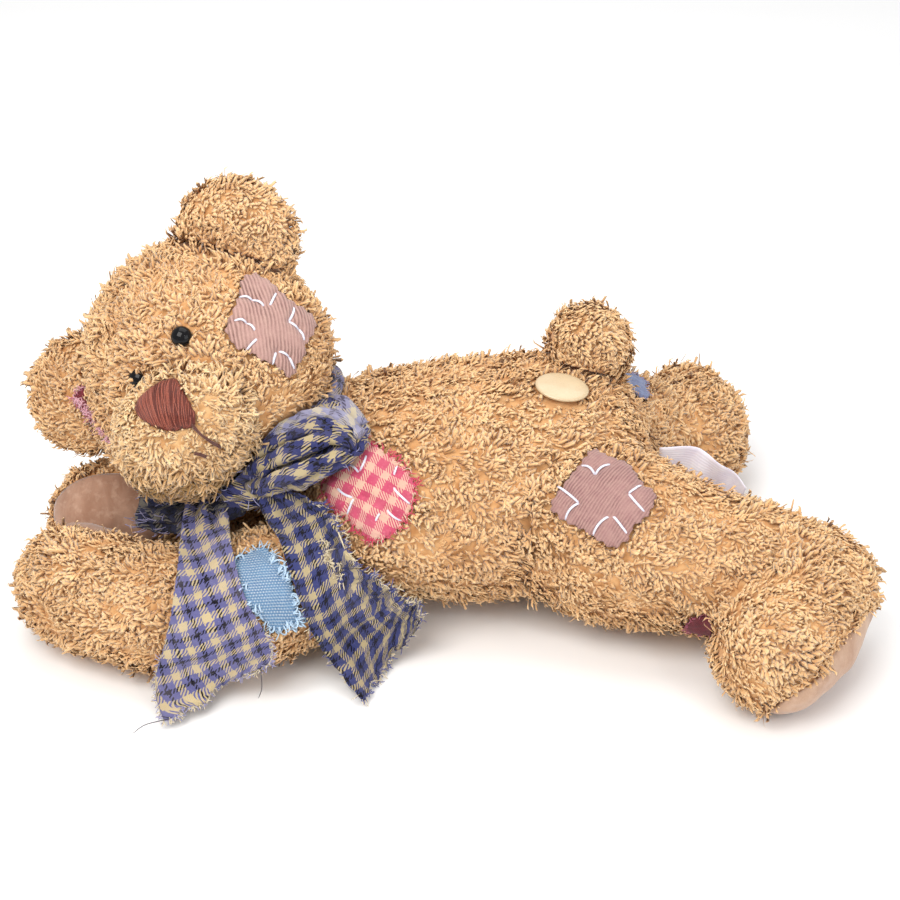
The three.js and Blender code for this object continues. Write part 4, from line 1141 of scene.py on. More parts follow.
# ------------------------------------------------------------------ nose and mouth
def nose():
    f = fitted("muzzle", F_MUZZLE, NOSE)

    def h(x, y, e):
        return 0.2 + 2.1 * (1 - (1 - np.clip(e / 8.0, 0, 1)) ** 2.2)

    obj, info = sewn_cloth("nose_base", NOSE, f, h, 1.4, 0.8, None, 11)
    dress(obj, NOSE_THREAD)
    rng = np.random.default_rng(61)
    a, b = Pile(), Pile()
    for k, c in enumerate(np.linspace(-15.5, 12.5, 122)):
        tilt = 0.14 + 0.5 * (4 - c) / 18.5 + rng.normal(0, 0.05)
        d = unit(np.array([tilt, -1.0]))
        s = np.linspace(-15, 15, 240)
        xy = np.array([c, 0.0]) + s[:, None] * d
        ok = inside(info["edge"], xy)
        if ok.sum() < 12:
            continue
        i0, i1 = np.where(ok)[0][[0, -1]]
        m = max(6, int((s[i1] - s[i0]) / 1.3))
        q = np.array([c, 0.0]) + np.linspace(s[i0] - 0.35, s[i1] + 0.35, m)[:, None] * d
        q[:, 0] += 0.12 * np.sin(np.linspace(0, 5, m) + k)
        P = on_cloth(info, q, 0.02 + 0.14 * rng.random())
        P[[0, -1]] -= gradient(info["field"], P[[0, -1]]) * 0.9
        # About two threads in five take the lighter copy: painted satin highlights.
        (b if rng.random() < 0.4 else a).add(*tube(P, 0.2, 5))
    t1 = dress(a.mesh("nose_threads"), NOSE_THREAD)
    t2 = dress(b.mesh("nose_threads_light"), NOSE_SHEEN_THREAD)
    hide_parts("nose")
    OBSTACLES.extend([obj])


nose()


def mouth():
    f = fitted("muzzle", F_MUZZLE, MOUTH)
    at, x, y, n = frame_of(MOUTH)
    pile = Pile()
    line = spline([[-4.9, 6.0, 0], [-1.4, 1.1, 0], [2.8, -3.0, 0], [6.9, -6.5, 0]], 16)[:, :2]
    info = dict(at=at, x=x, y=y, n=n, field=f, edge=np.array([[-40, -40], [40, -40], [40, 40], [-40, 40]], float),
                height=lambda a, b, e: np.full(len(a), 0.55))
    for k in range(3):
        off = np.array([0.34 * math.cos(2.1 * k), 0.34 * math.sin(2.1 * k)])
        s = np.linspace(0, 1, len(line))
        q = line + off + 0.1 * np.stack([np.sin(9 * s + k * 2), np.cos(7 * s + k)], -1)
        P = on_cloth(info, q, 0.25 * (k == 1))
        P = P - n * (1.1 * np.clip(1 - s / 0.5, 0, 1))[:, None]
        pile.add(*tube(P, 0.29, 6))
    red = spline([[-2.6, -7.4, 0], [-0.6, -8.2, 0], [1.4, -9.4, 0]], 8)[:, :2]
    for k in range(2):
        pile.add(*tube(on_cloth(info, red + k * 0.5, 0.1), 0.36, 5))
    obj = dress(pile.mesh("mouth_threads"), MOUTH_THREAD)
    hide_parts("mouth")
    OBSTACLES.append(obj)


mouth()


# ------------------------------------------------------------------ badge and label
def badge():
    at, x, y, n = frame_of(BADGE)
    c, s = math.cos(BADGE["turn"]), math.sin(BADGE["turn"])
    x, y = x * c + y * s, y * c - x * s
    P, F = [], []
    sides = 56
    a = np.linspace(0, 2 * np.pi, sides, endpoint=False)
    profile = [(0.93, 0.4), (0.99, 1.0), (1.0, 1.7), (0.97, 2.2), (0.9, 2.6), (0.78, 2.95), (0.6, 3.25), (0.4, 3.45), (0.2, 3.55)]
    for r, h in profile:
        P.append(at + (10.4 * r * np.cos(a))[:, None] * x + (8.2 * r * np.sin(a))[:, None] * y + (h * 0.72 - 0.9) * n)
    P = np.concatenate(P)
    for i in range(len(profile) - 1):
        for j in range(sides):
            k = (j + 1) % sides
            p, q, r, t = i * sides + j, i * sides + k, (i + 1) * sides + k, (i + 1) * sides + j
            F += [(p, q, r), (p, r, t)]
    m = len(P)
    P = np.concatenate([P, [at - 0.6 * n, at + 1.68 * n]])
    for j in range(sides):
        k = (j + 1) % sides
        F += [(k, j, m), ((len(profile) - 1) * sides + j, (len(profile) - 1) * sides + k, m + 1)]
    uv = np.stack([(P - at) @ x, (P - at) @ y], -1) / 100 + 0.5
    obj = dress(make_mesh("badge_dome", P, np.array(F), uv), BADGE_CREAM)
    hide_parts("badge")
    OBSTACLES.append(obj)


badge()


def grid_sheet(name, P, uv, thick, material):
    """A closed sheet from a grid of middle points (rows, columns, 3)."""
    rows, cols = P.shape[:2]
    du, dv = np.gradient(P, axis=1), np.gradient(P, axis=0)
    N = unit(np.cross(du, dv))
    edge = np.ones((rows, cols))
    edge[0, :] = edge[-1, :] = 0.55
    edge[:, 0] = edge[:, -1] = 0.55
    top, low = P + N * (thick / 2 * edge)[..., None], P - N * (thick / 2 * edge)[..., None]
    idx = np.arange(rows * cols).reshape(rows, cols)
    a, b, c, d = idx[:-1, :-1].ravel(), idx[:-1, 1:].ravel(), idx[1:, 1:].ravel(), idx[1:, :-1].ravel()
    T = np.concatenate([np.stack([a, b, c], -1), np.stack([a, c, d], -1)])
    m = rows * cols
    rim = np.concatenate([idx[0, :], idx[1:, -1], idx[-1, -2::-1], idx[-2:0:-1, 0]])
    nx = np.roll(rim, -1)
    W = np.concatenate([np.stack([nx, rim, rim + m], -1), np.stack([nx, rim + m, nx + m], -1)])
    V = np.concatenate([top.reshape(-1, 3), low.reshape(-1, 3)])
    V[:, 2] = np.maximum(V[:, 2], 0.3)
    F = np.concatenate([T, T[:, ::-1] + m, W])
    U = np.concatenate([uv.reshape(-1, 2)] * 2)
    obj = make_mesh(name, V, F, U)
    return dress(obj, material), N


def label():
    c = np.array([[82, -15, 55.5], [97, -16.8, 56.2], [102.5, -18.4, 53.6], [109, -20.6, 48.8], [116, -23.4, 42.0], [113, -21, 31], [97, -17, 32], [82, -14, 36]], float)
    nu, nv = 44, 22
    top = spline([c[0], c[1], c[2], c[3], c[4]], nu - 1)
    low = spline([c[7], c[6] + [0, 0, 0], c[5]], nu - 1)
    t = np.linspace(0, 1, nv)[:, None, None]
    P = top[None] * (1 - t) + low[None] * t
    s = np.linspace(0, 1, nu)[None, :]
    nrm = unit(np.cross(c[4] - c[0], c[7] - c[0]))
    w = 1.3 * np.sin(s * 9 + 1.5 * t[..., 0]) + 0.5 * np.sin(17 * s - 3 * t[..., 0])
    P = P + nrm * (w * np.clip(s * 3, 0, 1))[..., None]
    length = np.concatenate([[0], np.cumsum(np.linalg.norm(np.diff(top, axis=0), axis=1))])
    uv = np.stack(np.broadcast_arrays(length[None, :] / 100, t[..., 0] * 0.16), -1)
    obj, _ = grid_sheet("label_satin", P, uv, 0.45, SATIN)
    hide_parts("label")
    OBSTACLES.append(obj)


label()


# ------------------------------------------------------------------ scarf
KNOT = np.array([-76.5, -57, 66.5])
FOLD = [[-75, -57, 67], [-60, -55, 74.5], [-47, -47, 81], [-40, -38, 84.5]]
CHIN = [[-77, -56, 62], [-91, -53, 55.5], [-105, -49, 49], [-119, -45, 46.5]]
RING = [[-75.5, -52, 66], [-66, -45, 68], [-60.4, -38.4, 66.8], [-55.6, -38.5, 73.4], [-50.8, -35.1, 79.3], [-47.5, -28.7, 83.5], [-45.6, -21.1, 85.6], [-46, -13.1, 85.4], [-47.4, -6, 83.3], [-50.1, -0.3, 79.4], [-53.4, 3.6, 74.3], [-57.5, 4.6, 68.5], [-61.2, 3.1, 62.9], [-64.3, -0.6, 58.5], [-66.9, -5.7, 55.9], [-68, -11.4, 54.5], [-68.6, -17.2, 53.8], [-68.2, -23.3, 54.5], [-67.1, -29.2, 57.1], [-68, -40, 61], [-74, -50, 64]]
LEFT_TAIL = [
    [[-98.4, -57.0, 56.8], [-90.7, -57.5, 56.7], [-83.0, -58.0, 56.5]],
    [[-99.1, -66.8, 54.3], [-90.6, -66.3, 54.5], [-82.1, -65.8, 54.6]],
    [[-99.1, -79.0, 51.1], [-89.5, -78.5, 51.8], [-79.9, -78.4, 52.9]],
    [[-98.9, -93.2, 46.9], [-87.9, -92.4, 47.9], [-76.9, -91.2, 48.6]],
    [[-100.8, -101.4, 38.1], [-86.9, -100.5, 39.9], [-73.1, -98.4, 40.8]],
    [[-104.3, -104.7, 24.7], [-86.0, -104.5, 29.6], [-68.2, -101.1, 32.0]],
    [[-108.3, -104.9, 8.8], [-86.7, -104.8, 17.8], [-65.7, -101.0, 23.8]],
    [[-104.2, -118.2, 1.4], [-85.9, -106.1, 7.5], [-66.3, -101.1, 19.3]]]
RIGHT_TAIL = [
    [[-71.8, -62.9, 64.2], [-65.5, -62.3, 65.6], [-59.2, -61.7, 67.0]],
    [[-68.2, -66.4, 55.9], [-57.8, -65.3, 58.3], [-47.4, -64.3, 60.7]],
    [[-62.3, -79.3, 53.1], [-51.2, -74.4, 52.8], [-39.8, -73.3, 55.2]],
    [[-58.2, -88.7, 47.2], [-47.3, -83.3, 45.9], [-36.1, -79.1, 45.3]],
    [[-55.0, -94.1, 38.6], [-41.4, -85.1, 37.5], [-27.4, -79.3, 38.7]],
    [[-51.4, -95.0, 25.6], [-35.5, -82.9, 24.7], [-19.0, -77.9, 29.1]],
    [[-44.7, -91.6, 8.2], [-29.3, -80.5, 13.4], [-13.5, -77.0, 24.2]],
    [[-33.8, -106.7, 1.4], [-22.8, -83.4, 4.2], [-10.9, -76.5, 20.2]]]
UNDER = blended(3, [F_LEFT_ARM, F_TORSO])
OVER = [F_HEAD, F_MUZZLE]


def lifted(P, clear, fields, rounds=4):
    """Points pushed out to a clearance over the plush."""
    S = P.shape
    Q = P.reshape(-1, 3).copy()
    for f in fields:
        for _ in range(rounds):
            d = f(Q)
            low = d < clear
            if not low.any():
                break
            g = gradient(f, Q[low])
            Q[low] += g * (clear - d[low])[:, None]
    return Q.reshape(S)


def smooth_grid(P, times=1):
    for _ in range(times):
        Q = P.copy()
        Q[1:-1, :] = 0.5 * P[1:-1, :] + 0.25 * (P[:-2, :] + P[2:, :])
        P = Q.copy()
        P[:, 1:-1] = 0.5 * Q[:, 1:-1] + 0.25 * (Q[:, :-2] + Q[:, 2:])
    return P


def tail_grid(rows, nu, nv, ragged, seed, stretch=(0.0, 0.0)):
    R = [[np.array(p, float) for p in r] for r in rows]
    lines = [spline([r[k] for r in R], nv - 1) for k in range(3)]
    r = np.random.default_rng(seed)
    P = np.empty((nv, nu, 3))
    jag = waves(seed, 3.0, dims=1)
    for i in range(nv):
        a, b, c = (l[i] for l in lines)
        width = np.linalg.norm(c - a)
        l = -(ragged[0] * (0.6 * jag([[i * 1.1]])[0] + r.normal(0, 0.35))) / width
        h = 1 + (ragged[1] * (0.6 * jag([[i * 1.1 + 500]])[0] + r.normal(0, 0.35))) / width
        u = np.linspace(l, h, nu)[:, None]
        P[i] = a * (2 * u - 1) * (u - 1) + b * 4 * u * (1 - u) + c * u * (2 * u - 1)
    return P


def cloth_uv(P, anchor=0.0):
    """Real lengths across and along a grid of points, in millimetres."""
    nv, nu = P.shape[:2]
    across = np.concatenate([np.zeros((nv, 1)), np.cumsum(np.linalg.norm(np.diff(P, axis=1), axis=-1), axis=1)], 1)
    across = across - across[:, -1:] * anchor
    mid = int((nu - 1) * anchor)
    along = np.concatenate([np.zeros(1), np.cumsum(np.linalg.norm(np.diff(P[:, mid], axis=0), axis=-1))])
    whole = np.concatenate([np.zeros((1, nu)), np.cumsum(np.linalg.norm(np.diff(P, axis=0), axis=-1), axis=0)], 0)
    return np.stack([across, 0.5 * along[:, None] + 0.5 * whole], -1)


def scarf():
    rng = np.random.default_rng(71)

    # left tail: pleated under the knot, a flat hanging panel, its lower edge torn across
    nu, nv = 46, 120
    P = tail_grid(LEFT_TAIL, nu, nv, (0.15, 0.15), 81)
    P = lifted(P, 1.5, [UNDER])
    v = np.linspace(0, 1, nv)[:, None]
    u = np.linspace(0, 1, nu)[None, :]
    N = unit(np.cross(np.gradient(P, axis=1), np.gradient(P, axis=0)))
    if (N[nv // 2, nu // 2] @ np.array([0, -1, 0.5])) < 0:
        N = -N
    pleat = 1.9 * np.sin(2 * np.pi * (u * 2.4 + 0.2)) * np.exp(-(v / 0.16) ** 2)
    wave = 1.3 * np.sin(2 * np.pi * (u * 1.1 + 0.9 * v) + 0.8) * v + 0.8 * np.sin(2 * np.pi * (0.7 * u - 1.6 * v)) * np.clip(v * 2, 0, 1)
    crumple = waves(83, 9.0)(P) * 0.28 + np.abs(waves(84, 14.0)(P)) * 0.5
    curl = 2.4 * np.exp(-((1 - v) / 0.045) ** 2) * np.abs(np.sin(5 * u + 0.4)) + 1.2 * np.exp(-((1 - u) / 0.05) ** 2) * np.clip(v * 1.4 - 0.4, 0, 1)
    P = P + N * (pleat + wave + crumple + curl + 0.6)[..., None]
    bottom = (rng.normal(0, 0.55, nu) + 0.8 * np.sin(np.linspace(0, 23, nu)))[None, :] * np.clip((v - 0.965) / 0.035, 0, 1)
    P = P + unit(np.gradient(P, axis=0)) * bottom[..., None]
    P = lifted(P, 1.5, [UNDER, *OVER])
    P[..., 2] = np.maximum(P[..., 2], 0.75)
    uv = cloth_uv(P, 0.5) / 100 + np.array([0.3, 0.1])
    left, N = grid_sheet("scarf_left_tail", P, uv, 0.8, SCARF_PALE)
    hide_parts("scarf")
    down = unit(np.gradient(P, axis=0))
    over = unit(np.gradient(P, axis=1))
    E = [(P[-1], down[-1], N[-1], 190), (P[84:, 0], -over[84:, 0], N[84:, 0], 70), (P[88:, -1], over[88:, -1], N[88:, -1], 70)]
    lines = []
    for Q, O, L, count in E:
        lines += fray(Q, O, rng, count, (1.3, 3.6), L)
    f1 = threads("scarf_left_fray", lines[::2], 0.16, LAVENDER_THREAD)
    f2 = threads("scarf_left_fray_cream", lines[1::2], 0.16, CREAM_THREAD)
    a, b = P[-1, 2], P[-3, nu - 5]
    f3 = threads("scarf_left_loose", [
        [a, a + [-5, -1.5, -0.2], a + [-9, -4, 0.2], a + [-12.5, -8.5, 0.1]],
        [b, b + [0.5, -3.0, -3.5], b + [0.3, -3.5, -8], b + [-1.0, -3.5, -12]]], 0.2, DARK_THREAD)

    # right tail: its right edge crumpled into a frayed roll, then flared
    P = tail_grid(RIGHT_TAIL, nu, nv, (0.1, 0.9), 91)
    P = lifted(P, 1.5, [UNDER])
    N = unit(np.cross(np.gradient(P, axis=1), np.gradient(P, axis=0)))
    if (N[nv // 2, nu // 2] @ np.array([0, -1, 0.5])) < 0:
        N = -N
    pleat = 1.8 * np.sin(2 * np.pi * (u * 2.1)) * np.exp(-(v / 0.14) ** 2)
    pucker = np.exp(-((u - 0.97) / 0.2) ** 2) * (np.clip((v - 0.05) / 0.1, 0, 1) * np.clip((0.62 - v) / 0.15, 0, 1))
    wave = 2.6 * pucker * (0.6 + np.sin(2 * np.pi * v * 7.5 + 2 * u)) + 1.3 * np.sin(2 * np.pi * (u * 1.3 - 0.8 * v)) * v
    flare = 1.8 * np.sin(2 * np.pi * (v * 5.2) + 1.2) * np.clip((u - 0.45) / 0.55, 0, 1) * np.clip((v - 0.5) / 0.2, 0, 1)
    crumple = waves(93, 8.0)(P) * 0.3 + np.abs(waves(94, 12.0)(P)) * 0.65
    P = P + N * (pleat + wave + flare + crumple + 0.7)[..., None]
    bottom = (rng.normal(0, 0.7, nu) + 1.0 * np.sin(np.linspace(0, 31, nu)))[None, :] * np.clip((v - 0.955) / 0.045, 0, 1)
    P = P + unit(np.gradient(P, axis=0)) * bottom[..., None]
    P = lifted(P, 1.5, [UNDER, *OVER])
    P[..., 2] = np.maximum(P[..., 2], 0.75)
    uv = cloth_uv(P, 0.0) / 100 + np.array([0.052, 0.02])
    right, N = grid_sheet("scarf_right_tail", P, uv, 0.8, SCARF_DEEP)
    down = unit(np.gradient(P, axis=0))
    over = unit(np.gradient(P, axis=1))
    E = [(P[-1], down[-1], N[-1], 170), (P[14:, -1], over[14:, -1], N[14:, -1], 360), (P[60:, 0], -over[60:, 0], N[60:, 0], 26)]
    lines = []
    for Q, O, L, count in E:
        lines += fray(Q, O, rng, count, (1.3, 3.9), L)
    g1 = threads("scarf_right_fray", lines[::2], 0.17, BLUE_THREAD)
    g2 = threads("scarf_right_fray_cream", lines[1::2], 0.17, CREAM_THREAD)

    def at(uu, vv, lift=1.0):
        i, j = int(round(vv * (nv - 1))), int(round(uu * (nu - 1)))
        return P[i, j] + N[i, j] * lift

    cream = [
        [at(0.35, 0.10), at(0.62, 0.13, 1.6), at(0.8, 0.19, 1.4), at(0.93, 0.27, 1.8), at(1.0, 0.36, 1.5)],
        [at(0.88, 0.50, 0.8), at(0.84, 0.56, 2.0), at(0.78, 0.62, 1.2), at(0.9, 0.66, 2.0), at(0.98, 0.64, 1.0)],
        [at(0.42, 0.83, 0.8), at(0.5, 0.80, 1.8), at(0.62, 0.82, 1.4), at(0.8, 0.88, 1.4)],
        [at(0.44, 0.83, 0.8), at(0.46, 0.88, 1.6), at(0.5, 0.94, 1.0)],
    ]
    g3 = threads("scarf_right_threads", cream, 0.3, CREAM_THREAD, 6)
    black = [[at(0.99, 0.80, 0.5), at(1.0, 0.84, 3.4), at(0.99, 0.89, 3.6), at(0.86, 0.93, 2.0)]]
    g4 = threads("scarf_right_black", black, 0.26, DARK_THREAD, 6)
    tufts = []
    for (uu, vv) in ((0.62, 0.37), (0.66, 0.40), (0.6, 0.50), (0.72, 0.33), (0.8, 0.42)):
        for _ in range(22):
            a = at(uu + rng.normal(0, 0.03), vv + rng.normal(0, 0.012), 0.3)
            d = rng.normal(0, 1, 3)
            tufts.append([a, a + d * 0.7 + [0, -0.6, 0.4], a + d * 1.3 + [0, -0.7, 0.3] + rng.normal(0, 0.5, 3)])
    g5 = threads("scarf_right_tufts", tufts, 0.2, CREAM_THREAD)

    # gathered lengths: closed folded tubes, creased towards the knot
    def folded(name, path, radii, seed, material, clear, pleats, uv_shift, n=96, sides=72, flat_up=None, lumps=1.0):
        C = spline(path, n - 1)
        R = spline([[a, b, 0] for a, b in radii], n - 1)[:, :2]
        T = unit(np.gradient(C, axis=0))
        up = np.broadcast_to(np.array(flat_up if flat_up is not None else [0.0, -0.5, 0.85]), T.shape)
        B = unit(up - (up * T).sum(-1, keepdims=True) * T)
        S = np.cross(B, T)
        a = np.linspace(0, 2 * np.pi, sides, endpoint=False)
        s = np.linspace(0, 1, n)[:, None]
        ca, sa = np.cos(a)[None, :], np.sin(a)[None, :]
        rad = 1.0
        shape = np.sign(ca) * np.abs(ca) ** 0.9
        off = S[:, None, :] * (R[:, :1] * shape)[..., None] + B[:, None, :] * (R[:, 1:] * sa * (0.9 + 0.25 * np.abs(ca)))[..., None]
        Q = C[:, None, :] + off
        w = waves(seed, 15.0)
        for (a0, a1, depth, width, s0, s1) in pleats:
            line = a0 + (a1 - a0) * s
            d = (a[None, :] - line + np.pi) % (2 * np.pi) - np.pi
            g = np.clip((s - s0) / 0.1, 0, 1) * np.clip((s1 - s) / 0.15, 0, 1)
            Q = Q - unit(off) * (depth * np.exp(-(d / width) ** 2) * g)[..., None]
            Q = Q + unit(off) * (0.45 * depth * np.exp(-((np.abs(d) - 1.8 * width) / (width * 0.9)) ** 2) * g)[..., None]
        Q = Q + unit(off) * (lumps * (0.5 * w(Q) + 0.4 * np.abs(waves(seed + 1, 9.0)(Q)) + 0.12 * waves(seed + 2, 3.5)(Q)))[..., None]
        cap = np.sqrt(np.clip(1 - ((np.abs(s - 0.5) * 2 - 0.93) / 0.07).clip(0, 1) ** 2, 0.02, 1))
        Q = C[:, None, :] + (Q - C[:, None, :]) * cap[..., None]
        Q = lifted(Q, clear, [F_TORSO, F_HEAD, F_MUZZLE, F_LEFT_ARM], 3)
        Q[..., 2] = np.maximum(Q[..., 2], 0.6)
        idx = np.arange(n * sides).reshape(n, sides)
        p, q = idx[:-1, :], np.roll(idx[:-1, :], -1, 1)
        r2, t2 = np.roll(idx[1:, :], -1, 1), idx[1:, :]
        F = np.concatenate([np.stack([p.ravel(), q.ravel(), r2.ravel()], -1), np.stack([p.ravel(), r2.ravel(), t2.ravel()], -1)])
        m = n * sides
        V = np.concatenate([Q.reshape(-1, 3), Q[0].mean(0)[None], Q[-1].mean(0)[None]])
        ends = [(idx[0, (j + 1) % sides], idx[0, j], m) for j in range(sides)] + [(idx[-1, j], idx[-1, (j + 1) % sides], m + 1) for j in range(sides)]
        F = np.concatenate([F, np.array(ends)])
        vol = np.einsum("ij,ij->i", V[F[:, 0]], np.cross(V[F[:, 1]], V[F[:, 2]])).sum()
        if vol < 0:
            F = F[:, ::-1]
        closed = np.concatenate([Q, Q[:, :1]], 1)
        uv = cloth_uv(closed, 0.0)[:, :-1] / 100 + np.array(uv_shift)
        mirror = uv[..., 0].max(1, keepdims=True)
        half = np.minimum(uv[..., 0], mirror - uv[..., 0] + uv_shift[0] * 1.0)
        uv = np.stack([half, uv[..., 1]], -1)
        U = np.concatenate([uv.reshape(-1, 2), uv[0].mean(0)[None], uv[-1].mean(0)[None]])
        obj = make_mesh(name, V, F, U)
        return dress(obj, material), Q

    loop, QL = folded("scarf_loop", [[-77, -59, 68], [-66, -58, 73.5], [-56, -55, 78], [-46, -49, 82.5], [-37.5, -39, 86]],
                      [[6.5, 5], [10.5, 5.4], [13.5, 5.2], [14.5, 5.0], [11.5, 4.2]], 101, SCARF_LOOP, 1.0,
                      [(1.35, 0.75, 3.8, 0.17, 0.0, 0.85), (1.85, 2.25, 3.8, 0.17, 0.02, 1.0), (1.0, 1.15, 2.0, 0.18, 0.0, 0.6), (2.5, 2.6, 1.5, 0.15, 0.1, 0.95), (0.4, 0.1, 1.6, 0.18, 0.0, 0.9)],
                      (0.1, 0.03))
    # painted shade: the fold under the chin takes the darkened copy of the check
    chin, QC = folded("scarf_chin", CHIN, [[8.5, 4.8], [9.5, 4.8], [9.3, 4.2], [7.5, 3.2]], 111, SCARF_DARK, 0.6,
                      [(1.2, 1.8, 2.4, 0.2, 0.0, 1.0), (2.2, 2.5, 2.2, 0.22, 0.0, 1.0), (0.7, 0.4, 1.8, 0.2, 0.0, 1.0)], (0.2, 0.3), 80, 56)
    hem_path = [[-69.5, -54.5, 82.0], [-66.0, -54.0, 86.0], [-60.0, -52.0, 87.8], [-54.0, -49.6, 89.4], [-47.5, -48.6, 90.0], [-41.0, -49.6, 89.2], [-36.0, -50.5, 86.8], [-32.2, -53.4, 84.4]]
    hem, QH = folded("scarf_loop_hem", hem_path, [[2.0, 1.8], [2.7, 2.2], [3.0, 2.4], [2.8, 2.2], [2.0, 1.6]], 151, SCARF_HEM, 0.9,
                     [(1.3, 1.5, 0.9, 0.22, 0.0, 1.0), (2.3, 2.0, 0.7, 0.2, 0.1, 0.9)], (0.2, 0.2), 90, 28, None, 0.9)
    for k, (path, rad) in enumerate([
            ([[-70.5, -62.0, 72.5], [-65.4, -62.6, 78.4], [-60.2, -62.0, 81.8], [-55.1, -60.4, 83.6], [-49.6, -58.6, 85.0], [-44.3, -56.2, 85.8], [-38.7, -56.4, 85.0], [-34.7, -55.8, 82.6]], [[2.2, 1.8], [3.2, 2.6], [3.0, 2.3], [1.8, 1.2]]),
            ([[-70.5, -66.0, 68.0], [-65.8, -68.4, 73.8], [-60.3, -68.2, 76.2], [-54.9, -67.2, 78.2], [-49.4, -65.2, 79.8], [-44.0, -63.0, 81.0], [-37.6, -58.4, 81.6]], [[2.0, 1.6], [3.0, 2.2], [2.6, 2.0], [1.6, 1.1]]),
            ([[-75.0, -59.0, 75.0], [-69.5, -57.0, 81.0], [-62.5, -54.5, 85.2], [-55.0, -53.0, 87.2], [-47.5, -52.0, 87.8], [-40.5, -52.4, 86.8], [-35.0, -53.4, 84.6]], [[2.4, 2.0], [3.6, 2.8], [3.4, 2.4], [2.0, 1.4]])]):
        f, _ = folded("scarf_loop_fold_" + "abc"[k], path, rad, 161 + 10 * k, SCARF_LOOP, 1.2, [(1.5, 1.3, 0.6, 0.25, 0.0, 1.0)], (0.3 + 0.05 * k, 0.12), 80, 26, None, 0.5)
    behind, _ = folded("scarf_loop_back", [[-49, -33.5, 84], [-44.5, -37, 87.0], [-39, -42.5, 87.2], [-34.5, -48.5, 84.0]], [[4.0, 2.0], [5.8, 2.6], [5.0, 2.2]], 181, SCARF_HEM, 0.9,
                       [(1.2, 1.7, 1.4, 0.22, 0.0, 1.0), (2.1, 1.9, 1.2, 0.2, 0.0, 1.0)], (0.25, 0.05), 60, 36, None, 0.6)
    ring_a = RING[:11]
    ring_b = RING[10:]
    band, QB = folded("scarf_band", ring_a[1:], [[4.6, 4.6]] * 4, 121, SCARF_NECK, 0.4,
                      [(1.2, 1.3, 1.4, 0.2, 0.0, 1.0), (2.2, 2.1, 1.3, 0.2, 0.0, 1.0)], (0.4, 0.1), 90, 32, [-0.6, -0.2, 0.7], 0.6)
    # painted shade: the far side of the neck band takes the darkened copy of the check
    band2, _ = folded("scarf_band_far", ring_b, [[4.4, 4.4]] * 4, 131, SCARF_DARK, 0.2,
                      [(1.2, 1.3, 1.2, 0.2, 0.0, 1.0)], (0.5, 0.2), 80, 28, [-0.6, -0.2, 0.7], 0.5)

    # the knot: a wrapped bunch with ridges turning round it
    ns, nt = 64, 40
    th = np.linspace(0, 2 * np.pi, ns, endpoint=False)[None, :]
    ph = np.linspace(0.02, np.pi - 0.02, nt)[:, None]
    D = np.stack([np.sin(ph) * np.cos(th), np.sin(ph) * np.sin(th), np.cos(ph) * np.ones_like(th)], -1)
    axis = unit([0.75, -0.15, 0.55])
    tw = np.arctan2(D @ unit(np.cross(axis, [0, 0, 1.0])), D @ unit(np.cross(axis, np.cross(axis, [0, 0, 1.0])))) + 0.9 * (D @ axis)
    ridge = np.abs(np.sin(2.6 * tw + 0.6)) ** 0.7
    rr = np.array([11.3, 8.8, 9.8])
    K = KNOT + D * rr * (0.86 + 0.22 * ridge[..., None] + 0.05 * waves(141, 6.0)(D * 10)[..., None])
    K = lifted(K, 1.0, [F_HEAD, F_MUZZLE, F_TORSO, F_LEFT_ARM], 3)
    idx = np.arange(nt * ns).reshape(nt, ns)
    p, q = idx[:-1], np.roll(idx[:-1], -1, 1)
    r2, t2 = np.roll(idx[1:], -1, 1), idx[1:]
    F = np.concatenate([np.stack([p.ravel(), r2.ravel(), q.ravel()], -1), np.stack([p.ravel(), t2.ravel(), r2.ravel()], -1)])
    m = nt * ns
    V = np.concatenate([K.reshape(-1, 3), K[0].mean(0)[None], K[-1].mean(0)[None]])
    F = np.concatenate([F, [(idx[0, j], idx[0, (j + 1) % ns], m) for j in range(ns)], [(idx[-1, (j + 1) % ns], idx[-1, j], m + 1) for j in range(ns)]])
    vol = np.einsum("ij,ij->i", V[F[:, 0]] - KNOT, np.cross(V[F[:, 1]] - KNOT, V[F[:, 2]] - KNOT)).sum()
    if vol < 0:
        F = F[:, ::-1]
    uvk = np.stack([(tw * 9) / 100 * np.ones_like(ph), (D @ axis) * 0.11], -1)
    U = np.concatenate([uvk.reshape(-1, 2), uvk[0].mean(0)[None], uvk[-1].mean(0)[None]])
    knot = dress(make_mesh("scarf_knot", V, F, U), SCARF_LOOP)
    lines = []
    KN = unit(K - KNOT)
    for _ in range(130):
        i, j = rng.integers(6, nt - 6), rng.integers(0, ns)
        if KN[i, j, 1] > 0.1:
            continue
        a = K[i, j]
        d = unit(rng.normal(0, 1, 3) + KN[i, j] * 0.5)
        L = rng.uniform(1.5, 4.0)
        lines.append([a - KN[i, j] * 0.4, a + KN[i, j] * 0.6 + d * L * 0.5, a + KN[i, j] * 0.4 + d * L + rng.normal(0, 0.5, 3)])
    k1 = threads("scarf_knot_fray", lines[::2], 0.18, CREAM_THREAD)
    k2 = threads("scarf_knot_fray_blue", lines[1::2], 0.17, LAVENDER_THREAD)
    lines = []
    rows_ = QL[8:, :]
    for _ in range(150):
        i, j = rng.integers(0, len(rows_)), rng.integers(8, 34)
        a = rows_[i, j]
        o = unit(a - QL[8 + i].mean(0))
        if o[1] > 0.5:
            continue
        d = unit(rng.normal(0, 1, 3) + o * 0.3)
        L = rng.uniform(0.8, 2.4)
        lines.append([a - o * 0.3, a + o * 0.45 + d * L * 0.5, a + o * 0.5 + d * L])
    k3 = threads("scarf_loop_fray", lines, 0.14, LAVENDER_THREAD)
    lines = []
    for _ in range(120):
        i, j = rng.integers(20, 78), rng.integers(0, 56)
        a = QC[i, j]
        o = unit(a - QC[i].mean(0))
        d = unit(np.array([-1.0, -0.4, -0.1]) + rng.normal(0, 0.5, 3))
        L = rng.uniform(1.5, 4.5) * (0.5 + i / 78)
